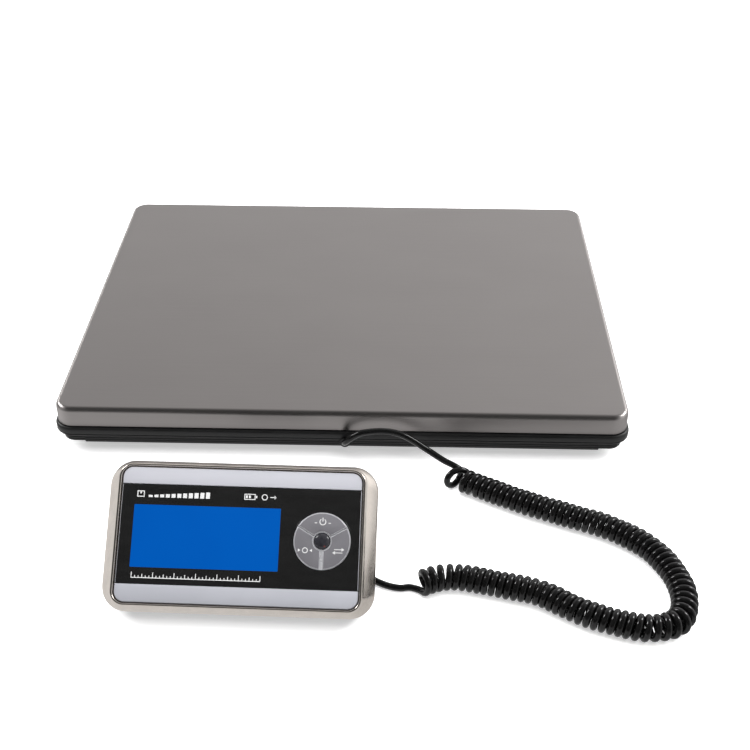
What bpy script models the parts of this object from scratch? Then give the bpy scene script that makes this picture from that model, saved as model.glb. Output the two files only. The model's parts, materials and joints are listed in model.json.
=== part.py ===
"""Platform shipping scale: a stainless platform on a black base, and a separate display unit
that leans on a kickstand and is wired to the base by a curly cord."""

import math

import bmesh
import bpy
from mathutils import Vector

MM = 0.001
GAP = 0.3  # clearance between pieces that touch; all sizes below are in millimetres
CLEAR = 5.0  # how far a cutter runs past the piece that it cuts

# Platform and base, measured from the centre of the base on the ground
BASE_Y = 80.0  # puts the origin midway between the base's back and the display's front
PLATFORM_WIDTH = 382.8
PLATFORM_DEPTH = 301.2
PLATFORM_TOP = 38.0
CORNER_RADIUS = 11.5
SHEET = 0.9
SKIRT_BOTTOM = 23.6
SKIRT_EDGE_RADIUS = 3.4
RIM_OVERHANG = 1.8
RIM_BOTTOM = 16.6
WALL_INSET = 1.75
WALL = 2.3
BODY_BOTTOM = 8.6
FLOOR_TOP = 12.0
GRID_TOP_SHEET = 2.2
GRID_BORDER = 5.0
RIB = 2.2
RIB_COLUMNS = 4
RIB_ROWS = 3

# Load cells, their feet and the screws of the base
CORNER_NAMES = ("front_left", "front_right", "rear_left", "rear_right")
CELL_X = 158.0
CELL_Y = 118.0
CELL_SIZE = 34.0
CELL_BOTTOM = 14.6
CELL_THICKNESS = 3.2
FOOT_RADIUS = 14.0
FOOT_HEIGHT = 9.2
STEM_RADIUS = 6.0
CELL_SLOT = 2.4
CELL_TONGUE = 14.6  # width of the middle strip that the foot pushes on
CELL_SLOT_LENGTH = 22.0
BOSS_RADIUS = 4.5
PILOT_RADIUS = 1.8
PILOT_TOP = 28.0
SCREW_WELL_RADIUS = 4.0
SCREW_WELL_TOP = 10.9
BASE_SCREW_PLACES = [(x, y) for x in (-95, 0, 95) for y in (-60, 60)]
BOARD_CENTRE = (3.0, -104.0)
BOARD_SIZE = (58.0, 28.0)
BOARD_BOTTOM = 14.0
BOARD_THICKNESS = 1.6
TERMINALS = (40.0, 6.0, 5.0)
SENSOR_WIRE = 1.8

# Display unit: u along its width, w up its slope, h out of its face, from its lower rear edge
DISPLAY_X = -51.8
DISPLAY_Y = -294.0
RECLINE = math.radians(41.45)
DISPLAY_TURN = math.radians(-1.29)
FACE_CENTRE = 41.0
HOUSING_WIDTH = 149.0
HOUSING_HEIGHT = 82.0
HOUSING_RADIUS = 11.0
HOUSING_EDGE = 1.2
HOUSING_DEPTH = 15.2
HOUSING_FLARE = 3.0
HOUSING_WALL = 2.2
BEZEL_WIDTH = 156.0
BEZEL_HEIGHT = 86.8
BEZEL_RADIUS = 14.5
BEZEL_WIDEST = 17.0
BEZEL_CREST = 27.0
PANEL_WIDTH = 139.2  # the bezel's pocket; the panels in it are smaller by PANEL_GAP all round
PANEL_HEIGHT = 78.2
PANEL_RADIUS = 10.0
PANEL_GAP = 0.75
LEDGE_WIDTH = 131.0
LEDGE_HEIGHT = 70.0
LEDGE_TOP = 23.7
PANEL_TOP = 26.0
BACK_WALL = 4.0
LOWER_STRIP = 10.9
UPPER_STRIP = 10.5
LCD_CENTRE = (-19.1, 40.0)
LCD_SIZE = (84.2, 35.6)
KEYPAD_CENTRE = (47.35, 40.1)
KEYPAD_RADIUS = 16.3
HUB_RADIUS = 4.8
KEY_ANGLES = {"key_top": (30, 150), "key_left": (150, 270), "key_right": (-90, 30)}
NARROW_HALF_GAP = 0.3  # half the gap between neighbouring keys
WIDE_HALF_GAP = 0.9
SWITCH_RING = 10.8  # the keys' stems and switches stand on this radius
SWITCH_SIZE = 6.0
SWITCH_HEIGHT = 2.6
POST_RADIUS = 3.9
DISPLAY_SCREW_PLACES = [(sx * 66.3, FACE_CENTRE + sy * 34.6) for sx in (-1, 1) for sy in (-1, 1)]
BAY_CENTRE = (-49.0, 40.0)
BAY_SIZE = (34.0, 54.0)
BAY_TOP = 13.7
DOOR_SIZE = (38.4, 58.4)
DOOR_THICKNESS = 1.8
CELL_PITCH = 10.9
BATTERY_RADIUS = 5.2
BATTERY_LENGTH = 43.6
CONTACT_PLATE = (31.0, 0.8, 9.0)
STAND_WIDTH = 50.0
STAND_LENGTH = 46.0
STAND_THICKNESS = 2.5
STAND_OFFSET = 0.85
HINGE = (60.5, 2.4)
BARREL_RADIUS = 2.2
PIN_RADIUS = 1.0
PIN_LENGTH = 55.0
RECESS_BOTTOM = 11.1
RECESS_TOP = 60.1
RECESS_DEPTH = 3.1
HINGE_WELL = (52.0, 6.6, 5.0)
HINGE_BLOCK = (66.0, 11.0, 5.5)
DISPLAY_GLAND = (44.0, 26.0)

# Cord
WIRE = 4.2
CURL_DIAMETER = 16.4
LEAD_POINT_SPACING = 3.2
CURL_POINT_SPACING = 14.0
GLAND_X = 2.7
GLAND_TILT = math.radians(30)
BASE_LEAD_ROUTE = [
    (2.7, -154.2, 16.3), (2.8, -156.0, 17.6), (4.0, -158.4, 20.5), (7.6, -159.6, 24.6),
    (13.1, -159.6, 28.2), (19.8, -159.6, 29.8), (28.3, -159.6, 30.4), (36.2, -159.8, 29.5),
    (42.8, -160.2, 27.0), (49.4, -160.8, 23.0), (56.1, -161.9, 18.5), (61.7, -163.8, 15.6),
    (65.8, -166.6, 14.5), (69.6, -170.0, 14.3), (72.6, -173.0, 14.2), (75.6, -175.6, 14.0),
]
CURL_ROUTE = [
    (76.4, -178.9), (97.4, -191.0), (121.7, -203.8), (146.4, -214.6), (169.7, -225.0), (191.6, -242.8),
    (202.9, -265.2), (204.9, -287.0), (197.8, -303.6), (181.7, -308.8), (163.4, -305.0), (143.4, -296.6),
    (121.8, -282.8), (98.5, -276.2), (81.6, -272.5), (75.8, -270.6), (69.8, -269.1), (63.4, -270.8),
    (57.1, -274.3), (52.8, -277.2),
]
DISPLAY_LEAD_ROUTE = [
    (-8.1, -267.2, 8.4), (-7.3, -262.4, 4.4), (-5.0, -257.5, 2.5), (0.6, -253.6, 2.2),
    (9.6, -254.9, 2.2), (17.6, -262.1, 2.2), (26.4, -269.6, 2.2), (34.1, -273.5, 2.2),
    (41.6, -275.3, 2.2), (46.4, -274.2, 2.2),
]

PARTS = bpy.data.collections.new("platform_shipping_scale")
CUTTERS = bpy.data.collections.new("cutters")


def clear_scene():
    for old in list(bpy.data.objects):
        bpy.data.objects.remove(old, do_unlink=True)
    for collection in (PARTS, CUTTERS):
        bpy.context.scene.collection.children.link(collection)


def material(name, colour, roughness, metallic=0.0):
    made = bpy.data.materials.new(name)
    made.use_nodes = True
    shader = made.node_tree.nodes["Principled BSDF"]
    shader.inputs["Base Color"].default_value = (*colour, 1.0)
    shader.inputs["Roughness"].default_value = roughness
    shader.inputs["Metallic"].default_value = metallic
    made.diffuse_color = (*colour, 1.0)
    return made


def place(obj, parent, at=(0, 0, 0), turned=(0, 0, 0)):
    """Puts obj at a place given in its parent's millimetres."""
    obj.parent = parent
    obj.location = Vector(at) * MM
    obj.rotation_euler = turned
    return obj


def piece(name, bm, finish, parent, at=(0, 0, 0), turned=(0, 0, 0)):
    """One sub-part, in the object's collection, shaded smooth across its shallow edges."""
    bmesh.ops.recalc_face_normals(bm, faces=bm.faces)
    mesh = bpy.data.meshes.new(name)
    bm.to_mesh(mesh)
    bm.free()
    mesh.materials.append(finish)
    mesh.shade_smooth()
    mesh.set_sharp_from_angle(angle=math.radians(35))
    obj = bpy.data.objects.new(name, mesh)
    PARTS.objects.link(obj)
    return place(obj, parent, at, turned)


def cutter(bm, parent, at=(0, 0, 0), turned=(0, 0, 0)):
    bmesh.ops.recalc_face_normals(bm, faces=bm.faces)
    mesh = bpy.data.meshes.new("cutter")
    bm.to_mesh(mesh)
    bm.free()
    obj = bpy.data.objects.new("cutter", mesh)
    obj.hide_render = True
    obj.display_type = "WIRE"
    CUTTERS.objects.link(obj)
    return place(obj, parent, at, turned)


def boolean(obj, tool, operation="DIFFERENCE"):
    modifier = obj.modifiers.new(operation.lower(), "BOOLEAN")
    modifier.operation = operation
    modifier.object = tool


def rounded_rectangle(width, depth, radius, centre=(0, 0), steps=5):
    """Anticlockwise outline with a round arc at each corner."""
    points = []
    for quarter in range(4):
        side_x = 1 if quarter in (0, 3) else -1
        side_y = 1 if quarter in (0, 1) else -1
        corner_x = centre[0] + side_x * (width / 2 - radius)
        corner_y = centre[1] + side_y * (depth / 2 - radius)
        for step in range(steps + 1):
            angle = math.pi / 2 * (quarter + step / steps)
            points.append((corner_x + radius * math.cos(angle), corner_y + radius * math.sin(angle)))
    return points


def loft(sections):
    """Closed body through (outline, height) sections that all have the same number of points."""
    bm = bmesh.new()
    rings = []
    for outline, height in sections:
        rings.append([bm.verts.new((x * MM, y * MM, height * MM)) for x, y in outline])
    for low, high in zip(rings, rings[1:]):
        for i in range(len(low)):
            j = (i + 1) % len(low)
            bm.faces.new((low[i], low[j], high[j], high[i]))
    bm.faces.new(reversed(rings[0]))
    bm.faces.new(rings[-1])
    return bm


def rounded_block(width, depth, radius, low, high, top_round=0.0, bottom_round=0.0, centre=(0, 0)):
    """Upright block with round corners, whose upper or lower edge can be rounded over."""
    levels = []
    if bottom_round:
        for step in range(3):
            angle = math.pi / 2 * step / 3
            inset = bottom_round * (1 - math.sin(angle))
            levels.append((inset, low + bottom_round * (1 - math.cos(angle))))
    levels.append((0.0, low + bottom_round))
    levels.append((0.0, high - top_round))
    if top_round:
        for step in range(1, 4):
            angle = math.pi / 2 * step / 3
            inset = top_round * (1 - math.cos(angle))
            levels.append((inset, high - top_round * (1 - math.sin(angle))))
    sections = []
    for inset, height in levels:
        outline = rounded_rectangle(width - 2 * inset, depth - 2 * inset, radius - inset, centre)
        sections.append((outline, height))
    return loft(sections)


def box(size, centre):
    bm = bmesh.new()
    bmesh.ops.create_cube(bm, size=1.0)
    bmesh.ops.scale(bm, vec=[length * MM for length in size], verts=bm.verts)
    bmesh.ops.translate(bm, vec=Vector(centre) * MM, verts=bm.verts)
    return bm


def cylinder(radius, low, high, centre=(0, 0), sides=16):
    bm = bmesh.new()
    bmesh.ops.create_cone(bm, cap_ends=True, segments=sides, radius1=radius * MM,
                          radius2=radius * MM, depth=(high - low) * MM)
    bmesh.ops.translate(bm, verts=bm.verts,
                        vec=Vector((centre[0], centre[1], (low + high) / 2)) * MM)
    return bm


def turned_piece(name, profile, finish, parent, at=(0, 0, 0), turned=(0, 0, 0), sides=16):
    """Round solid: a profile of (radius, height), top to bottom down its outer side, spun about Z."""
    mesh = bpy.data.meshes.new(name)
    points = [(radius * MM, 0.0, height * MM) for radius, height in profile]
    mesh.from_pydata(points, [(i, i + 1) for i in range(len(points) - 1)], [])
    mesh.materials.append(finish)
    obj = bpy.data.objects.new(name, mesh)
    PARTS.objects.link(obj)
    screw = obj.modifiers.new("spin", "SCREW")
    screw.steps = sides
    screw.render_steps = sides
    screw.use_merge_vertices = True
    screw.merge_threshold = 0.00001
    screw.use_smooth_shade = True
    return place(obj, parent, at, turned)


def smooth_route(points, spacing):
    """Evenly spaced points on a Catmull-Rom curve through the given points."""
    knots = [Vector(p) for p in points]
    knots = [2 * knots[0] - knots[1], *knots, 2 * knots[-1] - knots[-2]]
    fine = []
    for a, b, c, d in zip(knots, knots[1:], knots[2:], knots[3:]):
        for step in range(16):
            t = step / 16
            fine.append(0.5 * (2 * b + (c - a) * t + (2 * a - 5 * b + 4 * c - d) * t * t
                               + (3 * b - a - 3 * c + d) * t * t * t))
    fine.append(knots[-2])
    lengths = [0.0]
    for a, b in zip(fine, fine[1:]):
        lengths.append(lengths[-1] + (b - a).length)
    count = max(2, round(lengths[-1] / spacing))
    route = []
    i = 0
    for step in range(count + 1):
        goal = lengths[-1] * step / count
        while i < len(fine) - 2 and lengths[i + 1] < goal:
            i += 1
        route.append(fine[i].lerp(fine[i + 1], (goal - lengths[i]) / (lengths[i + 1] - lengths[i])))
    return route


def tube(name, points, diameter, finish, parent):
    """Round tube with closed ends along a polyline."""
    curve = bpy.data.curves.new(name, "CURVE")
    curve.dimensions = "3D"
    curve.bevel_depth = diameter / 2 * MM
    curve.bevel_resolution = 2
    curve.use_fill_caps = True
    spline = curve.splines.new("POLY")
    spline.points.add(len(points) - 1)
    for target, point in zip(spline.points, points):
        target.co = (*(Vector(point) * MM), 1.0)
    curve.materials.append(finish)
    obj = bpy.data.objects.new(name, curve)
    PARTS.objects.link(obj)
    return place(obj, parent)


def pan_screw(name, finish, parent, at, head_radius, shank_radius, length):
    """Pan-head screw with its head down and its shank along +Z from the head's seat."""
    profile = [(0.0, length), (shank_radius, length - shank_radius), (shank_radius, 0.0),
               (head_radius, 0.0), (head_radius, -0.6), (head_radius * 0.6, -1.3), (0.0, -1.3)]
    return turned_piece(name, profile, finish, parent, at, sides=12)


def make_platform(base, steel):
    tray = piece("platform_tray", rounded_block(
        PLATFORM_WIDTH, PLATFORM_DEPTH, CORNER_RADIUS, SKIRT_BOTTOM, PLATFORM_TOP,
        top_round=SKIRT_EDGE_RADIUS), steel, base)
    inside = rounded_block(
        PLATFORM_WIDTH - 2 * SHEET, PLATFORM_DEPTH - 2 * SHEET, CORNER_RADIUS - SHEET,
        SKIRT_BOTTOM - CLEAR, PLATFORM_TOP - SHEET, top_round=SKIRT_EDGE_RADIUS - SHEET)
    boolean(tray, cutter(inside, base))


def make_support_grid(base, plastic):
    """Ribbed moulding that carries the platform and stands on the base shell's wall."""
    width = PLATFORM_WIDTH - 2 * SHEET - 2 * GAP
    depth = PLATFORM_DEPTH - 2 * SHEET - 2 * GAP
    low = SKIRT_BOTTOM
    high = PLATFORM_TOP - SHEET - GAP
    grid = piece("support_grid", rounded_block(
        width, depth, CORNER_RADIUS - SHEET - GAP, low, high, top_round=SKIRT_EDGE_RADIUS - SHEET),
        plastic, base)
    cell_width = (width - 2 * GRID_BORDER - RIB * (RIB_COLUMNS - 1)) / RIB_COLUMNS
    cell_depth = (depth - 2 * GRID_BORDER - RIB * (RIB_ROWS - 1)) / RIB_ROWS
    for column in range(RIB_COLUMNS):
        for row in range(RIB_ROWS):
            x = (column - (RIB_COLUMNS - 1) / 2) * (cell_width + RIB)
            y = (row - (RIB_ROWS - 1) / 2) * (cell_depth + RIB)
            middle = (high + low) / 2 - GRID_TOP_SHEET
            pocket = box((cell_width, cell_depth, high - low), (x, y, middle))
            boolean(grid, cutter(pocket, base))
    for x, y in BASE_SCREW_PLACES:
        boss = cylinder(BOSS_RADIUS, FLOOR_TOP + GAP, high - 1, (x, y), sides=12)
        boolean(grid, cutter(boss, base), "UNION")
    for x, y in BASE_SCREW_PLACES:
        hole = cylinder(PILOT_RADIUS, FLOOR_TOP - CLEAR, PILOT_TOP, (x, y), sides=12)
        boolean(grid, cutter(hole, base))


def make_base_shell(base, plastic):
    """Black pan under the platform: a rim that stands out past the skirt over a lower wall."""
    wall_width = PLATFORM_WIDTH - 2 * WALL_INSET
    wall_depth = PLATFORM_DEPTH - 2 * WALL_INSET
    wall_radius = CORNER_RADIUS - WALL_INSET
    rim_top = SKIRT_BOTTOM - 2 * GAP
    shell = piece("base_shell", rounded_block(
        wall_width, wall_depth, wall_radius, BODY_BOTTOM, RIM_BOTTOM + 2, bottom_round=1.5),
        plastic, base)
    rim = rounded_block(
        PLATFORM_WIDTH + 2 * RIM_OVERHANG, PLATFORM_DEPTH + 2 * RIM_OVERHANG,
        CORNER_RADIUS + RIM_OVERHANG, RIM_BOTTOM, rim_top, top_round=1.6, bottom_round=0.8)
    boolean(shell, cutter(rim, base), "UNION")
    cavity = rounded_block(
        wall_width - 2 * WALL, wall_depth - 2 * WALL, wall_radius - WALL, FLOOR_TOP, rim_top + CLEAR)
    boolean(shell, cutter(cavity, base))
    for x, y in corner_places(CELL_X, CELL_Y):
        seat_height = CELL_BOTTOM - GAP
        seat = cylinder(CELL_SIZE / 2 + 2, BODY_BOTTOM + 1, seat_height, (x, y), sides=24)
        boolean(shell, cutter(seat, base), "UNION")
        hole = cylinder(FOOT_RADIUS + 2 * GAP, BODY_BOTTOM - CLEAR, seat_height + CLEAR, (x, y), sides=24)
        boolean(shell, cutter(hole, base))
    for x, y in BASE_SCREW_PLACES:
        well = cylinder(SCREW_WELL_RADIUS, BODY_BOTTOM - CLEAR, SCREW_WELL_TOP, (x, y), sides=12)
        hole = cylinder(SCREW_WELL_RADIUS / 2, BODY_BOTTOM - CLEAR, FLOOR_TOP + 2, (x, y), sides=12)
        boolean(shell, cutter(well, base))
        boolean(shell, cutter(hole, base))
    gland_hole = cylinder(3.5, -8, 8, sides=16)
    boolean(shell, cutter(gland_hole, base, gland_seat(), gland_turn()))


def corner_places(x, y):
    return [(-x, -y), (x, -y), (-x, y), (x, y)]


def gland_seat():
    """Where the cord's gland meets the outer face of the base's front wall."""
    return (GLAND_X, WALL_INSET - PLATFORM_DEPTH / 2, 13.2)


def gland_turn():
    """Points the gland's Z axis out of the front wall and a little upwards."""
    return (math.pi / 2 - GLAND_TILT, 0, 0)


def make_load_cells(base, steel, rubber):
    foot_profile = [
        (0.0, CELL_BOTTOM - GAP), (STEM_RADIUS, CELL_BOTTOM - GAP), (STEM_RADIUS, FOOT_HEIGHT),
        (FOOT_RADIUS - 1.5, FOOT_HEIGHT), (FOOT_RADIUS, FOOT_HEIGHT - 1.5), (FOOT_RADIUS, 1.2),
        (FOOT_RADIUS - 1.2, 0.0), (0.0, 0.0)]
    for corner, (x, y) in zip(CORNER_NAMES, corner_places(CELL_X, CELL_Y)):
        turned_piece(f"foot_{corner}", foot_profile, rubber, base, (x, y, 0), sides=20)
        top = CELL_BOTTOM + CELL_THICKNESS
        cell = piece(f"load_cell_{corner}", rounded_block(
            CELL_SIZE, CELL_SIZE, 4.0, CELL_BOTTOM, top), steel, base, (x, y, 0))
        slot_height = 2 * CELL_THICKNESS + CLEAR
        slot_end = 2.5 + CELL_SLOT_LENGTH / 2
        for side in (-1, 1):
            slot_x = side * (CELL_TONGUE + CELL_SLOT) / 2
            slot = box((CELL_SLOT, CELL_SLOT_LENGTH, slot_height), (slot_x, 2.5, CELL_BOTTOM))
            boolean(cell, cutter(slot, base, (x, y, 0)))
        crossing = (CELL_TONGUE + 2 * CELL_SLOT, CELL_SLOT, slot_height)
        slot = box(crossing, (0, slot_end - CELL_SLOT / 2, CELL_BOTTOM))
        boolean(cell, cutter(slot, base, (x, y, 0)))


def make_wiring(base, board_green, wire_finish, cable_black):
    """Summing board on the floor of the base, a wire from each load cell, and the cord's tail."""
    board_at = (*BOARD_CENTRE, 0)
    board_shape = rounded_block(*BOARD_SIZE, 2.0, BOARD_BOTTOM, BOARD_BOTTOM + BOARD_THICKNESS)
    board = piece("summing_board", board_shape, board_green, base, board_at)
    terminals = box(TERMINALS, (0, 8, BOARD_BOTTOM + 3))
    boolean(board, cutter(terminals, base, board_at), "UNION")
    wire_height = FLOOR_TOP + SENSOR_WIRE / 2 + GAP
    for corner, (x, y) in zip(CORNER_NAMES, corner_places(CELL_X, CELL_Y)):
        side = 1 if x > 0 else -1
        cell_edge = x - side * (CELL_SIZE / 2 + 3.5)
        board_edge = BOARD_CENTRE[0] + side * (BOARD_SIZE[0] / 2 + GAP + 1)
        entry_y = BOARD_CENTRE[1] + (6 if y > 0 else -6)
        route = [(cell_edge, y, wire_height), (side * 125, y * 0.96, wire_height),
                 (side * 112, y * 0.6 + entry_y * 0.4, wire_height),
                 (side * 52, entry_y, wire_height), (board_edge, entry_y, wire_height)]
        tube(f"sensor_wire_{corner}", smooth_route(route, 22), SENSOR_WIRE, wire_finish, base)
    tail = [(GLAND_X, -139.0, 14.5), (GLAND_X, -132.0, 14.6), (GLAND_X, -124.0, 14.8),
            (GLAND_X, BOARD_CENTRE[1] - BOARD_SIZE[1] / 2 - GAP, 14.8)]
    tube("cord_base_tail", smooth_route(tail, 6), WIRE, cable_black, base)


def make_base_gland(base, rubber):
    """Strain relief in the front wall, from its inner end at -Z to its thin outer end."""
    profile = [(0.0, 5.6), (2.5, 5.6), (3.1, 0.6), (3.1, -5.4), (0.0, -5.4)]
    turned_piece("base_gland", profile, rubber, base, gland_seat(), gland_turn())


def make_base_screws(base, zinc):
    for number, (x, y) in enumerate(BASE_SCREW_PLACES, 1):
        pan_screw(f"base_screw_{number}", zinc, base, (x, y, SCREW_WELL_TOP - GAP), 3.4, 1.5, 15)


def housing_sections():
    """The display housing's outlines from its back face to the parting line under the bezel."""
    levels = [(-2 * HOUSING_EDGE, 0.0), (0.0, HOUSING_EDGE), (HOUSING_FLARE, HOUSING_DEPTH)]
    sections = []
    for extra, height in levels:
        outline = rounded_rectangle(HOUSING_WIDTH + extra, HOUSING_HEIGHT + extra,
                                    HOUSING_RADIUS + extra / 2, (0, FACE_CENTRE))
        sections.append((outline, height))
    return sections


def display_height():
    """How far the display's frame stands over the ground for its lower rear edge to rest on it."""
    lowest = min(w * math.sin(RECLINE) + h * math.cos(RECLINE)
                 for outline, h in housing_sections() for u, w in outline)
    return -lowest


def stand_angle():
    """How far the kickstand opens from folded flat until its round tip rests on the ground."""
    axis_height = HINGE[0] * math.sin(RECLINE) + HINGE[1] * math.cos(RECLINE) + display_height()
    reach = math.hypot(STAND_LENGTH, STAND_OFFSET)
    slope = math.asin((axis_height - STAND_THICKNESS / 2) / reach)
    return math.pi - slope - RECLINE - math.atan2(STAND_OFFSET, STAND_LENGTH)


def make_rear_housing(display, plastic):
    housing = piece("rear_housing", loft(housing_sections()), plastic, display)
    cavity = rounded_block(HOUSING_WIDTH - 2 * HOUSING_WALL, HOUSING_HEIGHT - 2 * HOUSING_WALL,
                           HOUSING_RADIUS - HOUSING_WALL, BACK_WALL, HOUSING_DEPTH + CLEAR,
                           centre=(0, FACE_CENTRE))
    boolean(housing, cutter(cavity, display))
    unions = [
        box((BAY_SIZE[0] + 3, BAY_SIZE[1] + 3, HOUSING_DEPTH - 1.5),
            (*BAY_CENTRE, (HOUSING_DEPTH + 1.5) / 2)),
        box(HINGE_BLOCK, (0, HINGE[0], 1 + HINGE_BLOCK[2] / 2)),
    ]
    for at in DISPLAY_SCREW_PLACES:
        unions.append(cylinder(POST_RADIUS, BACK_WALL - 1, HOUSING_DEPTH, at, sides=12))
    for shape in unions:
        boolean(housing, cutter(shape, display), "UNION")
    hinge_w, hinge_h = HINGE
    door_opening = (DOOR_SIZE[0] + 2 * GAP, DOOR_SIZE[1] + 2 * GAP)
    pin_hole = cylinder(PIN_RADIUS + 0.15, -PIN_LENGTH / 2 - 1, PIN_LENGTH / 2 + 1, sides=12)
    cuts = [
        box((*BAY_SIZE, 2 * BAY_TOP), (*BAY_CENTRE, 0)),
        box((*door_opening, 2 * (DOOR_THICKNESS + GAP)), (*BAY_CENTRE, 0)),
        box((HINGE_WELL[0], RECESS_TOP - RECESS_BOTTOM, 2 * RECESS_DEPTH),
            (0, (RECESS_TOP + RECESS_BOTTOM) / 2, 0)),
        box((*HINGE_WELL[:2], 2 * HINGE_WELL[2]), (0, hinge_w, 0)),
        cylinder(4.2, -CLEAR, BACK_WALL + CLEAR, DISPLAY_GLAND),
    ]
    for at in DISPLAY_SCREW_PLACES:
        cuts.append(cylinder(2.9, -2, 4.4, at, sides=12))
        cuts.append(cylinder(1.4, -2, HOUSING_DEPTH + 3, at, sides=12))
    for shape in cuts:
        boolean(housing, cutter(shape, display))
    boolean(housing, cutter(pin_hole, display, (0, hinge_w, hinge_h), (0, math.pi / 2, 0)))


def make_bezel(display, nickel):
    """Plated frame that slopes out from a crest round the panel to its widest line."""
    def outline(width, height, radius):
        return rounded_rectangle(width, height, radius, (0, FACE_CENTRE), steps=7)
    low = HOUSING_DEPTH + GAP
    sections = [
        (outline(BEZEL_WIDTH - 1.4, BEZEL_HEIGHT - 1.4, BEZEL_RADIUS - 0.7), low),
        (outline(BEZEL_WIDTH, BEZEL_HEIGHT, BEZEL_RADIUS), BEZEL_WIDEST),
        (outline(PANEL_WIDTH + 3.0, PANEL_HEIGHT + 2.4, PANEL_RADIUS + 1.3), BEZEL_CREST - 0.5),
        (outline(PANEL_WIDTH + 1.4, PANEL_HEIGHT + 1.2, PANEL_RADIUS + 0.6), BEZEL_CREST),
    ]
    bezel = piece("bezel", loft(sections), nickel, display)
    pocket = rounded_block(PANEL_WIDTH, PANEL_HEIGHT, PANEL_RADIUS, LEDGE_TOP, BEZEL_CREST + CLEAR,
                           centre=(0, FACE_CENTRE))
    opening = rounded_block(LEDGE_WIDTH, LEDGE_HEIGHT, 6.0, low - CLEAR, LEDGE_TOP + 2,
                            centre=(0, FACE_CENTRE))
    boolean(bezel, cutter(pocket, display))
    boolean(bezel, cutter(opening, display))
    for at in DISPLAY_SCREW_PLACES:
        boolean(bezel, cutter(cylinder(1.4, low - 3, 21, at, sides=12), display))


def make_front_panel(display, black_acrylic, silver):
    """Black window across the middle of the face, between two silver strips."""
    panel_low = FACE_CENTRE - PANEL_HEIGHT / 2
    panel_high = FACE_CENTRE + PANEL_HEIGHT / 2
    window_low = panel_low + LOWER_STRIP + GAP / 2
    window_high = panel_high - UPPER_STRIP - GAP / 2
    width = PANEL_WIDTH - 2 * PANEL_GAP
    bottom = LEDGE_TOP + GAP
    window = piece("front_window", box(
        (width, window_high - window_low, PANEL_TOP - bottom),
        (0, (window_high + window_low) / 2, (PANEL_TOP + bottom) / 2)), black_acrylic, display)
    boolean(window, cutter(cylinder(KEYPAD_RADIUS + 0.5, bottom - 3, PANEL_TOP + 3, KEYPAD_CENTRE,
                                    sides=32), display))
    spans = [
        ("strip_lower", panel_low + PANEL_GAP, window_low - GAP),
        ("strip_upper", window_high + GAP, panel_high - PANEL_GAP),
    ]
    for name, low, high in spans:
        face = rounded_block(width, PANEL_HEIGHT - 2 * PANEL_GAP, PANEL_RADIUS - PANEL_GAP, bottom,
                             PANEL_TOP + 0.2, centre=(0, FACE_CENTRE))
        strip = piece(name, face, silver, display)
        keep = box((width + 20, high - low, 10), (0, (low + high) / 2, PANEL_TOP))
        boolean(strip, cutter(keep, display), "INTERSECT")


def make_electronics(display, glass_blue, white_plastic, board_green, switch_black):
    board_low = HOUSING_DEPTH + 0.6
    board_top = board_low + BOARD_THICKNESS
    piece("main_board", rounded_block(LEDGE_WIDTH - 3, LEDGE_HEIGHT - 3, 5.0, board_low, board_top,
                                      centre=(0, FACE_CENTRE)), board_green, display)
    piece("lcd_backlight", rounded_block(LCD_SIZE[0] + 5, LCD_SIZE[1] + 7, 1.5, board_top + GAP, 20.3,
                                         centre=LCD_CENTRE), white_plastic, display)
    piece("lcd_module", rounded_block(LCD_SIZE[0] + 3, LCD_SIZE[1] + 4, 0.8, 20.6, LEDGE_TOP,
                                      centre=LCD_CENTRE), glass_blue, display)
    for name, (u, w) in key_centres().items():
        body = box((SWITCH_SIZE, SWITCH_SIZE, SWITCH_HEIGHT), (u, w, board_top + GAP + SWITCH_HEIGHT / 2))
        switch = piece(f"switch_{name}", body, switch_black, display)
        plunger = cylinder(1.7, board_top + 1, board_top + 3.5, (u, w), sides=12)
        boolean(switch, cutter(plunger, display), "UNION")


def key_centres():
    centres = {}
    for name, (start, end) in KEY_ANGLES.items():
        middle = math.radians((start + end) / 2)
        centres[name] = (KEYPAD_CENTRE[0] + SWITCH_RING * math.cos(middle),
                         KEYPAD_CENTRE[1] + SWITCH_RING * math.sin(middle))
    return centres


def sector(start, end, start_gap, end_gap):
    """Outline of a key: part of a ring, cut off parallel to its two edge lines."""
    points = []
    for radius, count, forward in ((KEYPAD_RADIUS, 12, True), (HUB_RADIUS + 0.5, 6, False)):
        first = math.radians(start) + math.asin(start_gap / radius)
        last = math.radians(end) - math.asin(end_gap / radius)
        for step in range(count + 1):
            share = step / count if forward else 1 - step / count
            angle = first + (last - first) * share
            points.append((radius * math.cos(angle), radius * math.sin(angle)))
    return points


def make_keys(display, key_grey, dome_black):
    """Three sector keys round a fixed dome, each with a stem over its switch."""
    gaps = {
        "key_top": (NARROW_HALF_GAP, NARROW_HALF_GAP),
        "key_left": (NARROW_HALF_GAP, WIDE_HALF_GAP),
        "key_right": (WIDE_HALF_GAP, NARROW_HALF_GAP),
    }
    low = LEDGE_TOP - 0.2
    for name, (start, end) in KEY_ANGLES.items():
        outline = sector(start, end, *gaps[name])
        key = piece(name, loft([(outline, low), (outline, PANEL_TOP + 0.5)]), key_grey, display,
                    (*KEYPAD_CENTRE, 0))
        centre = key_centres()[name]
        stem = cylinder(1.8, 21.9, low + 1, centre, sides=12)
        boolean(key, cutter(stem, display), "UNION")
    dome = [(0.0, PANEL_TOP + 2.4), (1.8, PANEL_TOP + 2.2), (3.4, PANEL_TOP + 1.6),
            (4.4, PANEL_TOP + 0.7), (HUB_RADIUS, PANEL_TOP - 0.4), (HUB_RADIUS, LEDGE_TOP),
            (2.0, LEDGE_TOP), (2.0, 17.7), (0.0, 17.7)]
    turned_piece("status_dome", dome, dome_black, display, (*KEYPAD_CENTRE, 0), sides=20)


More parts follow.
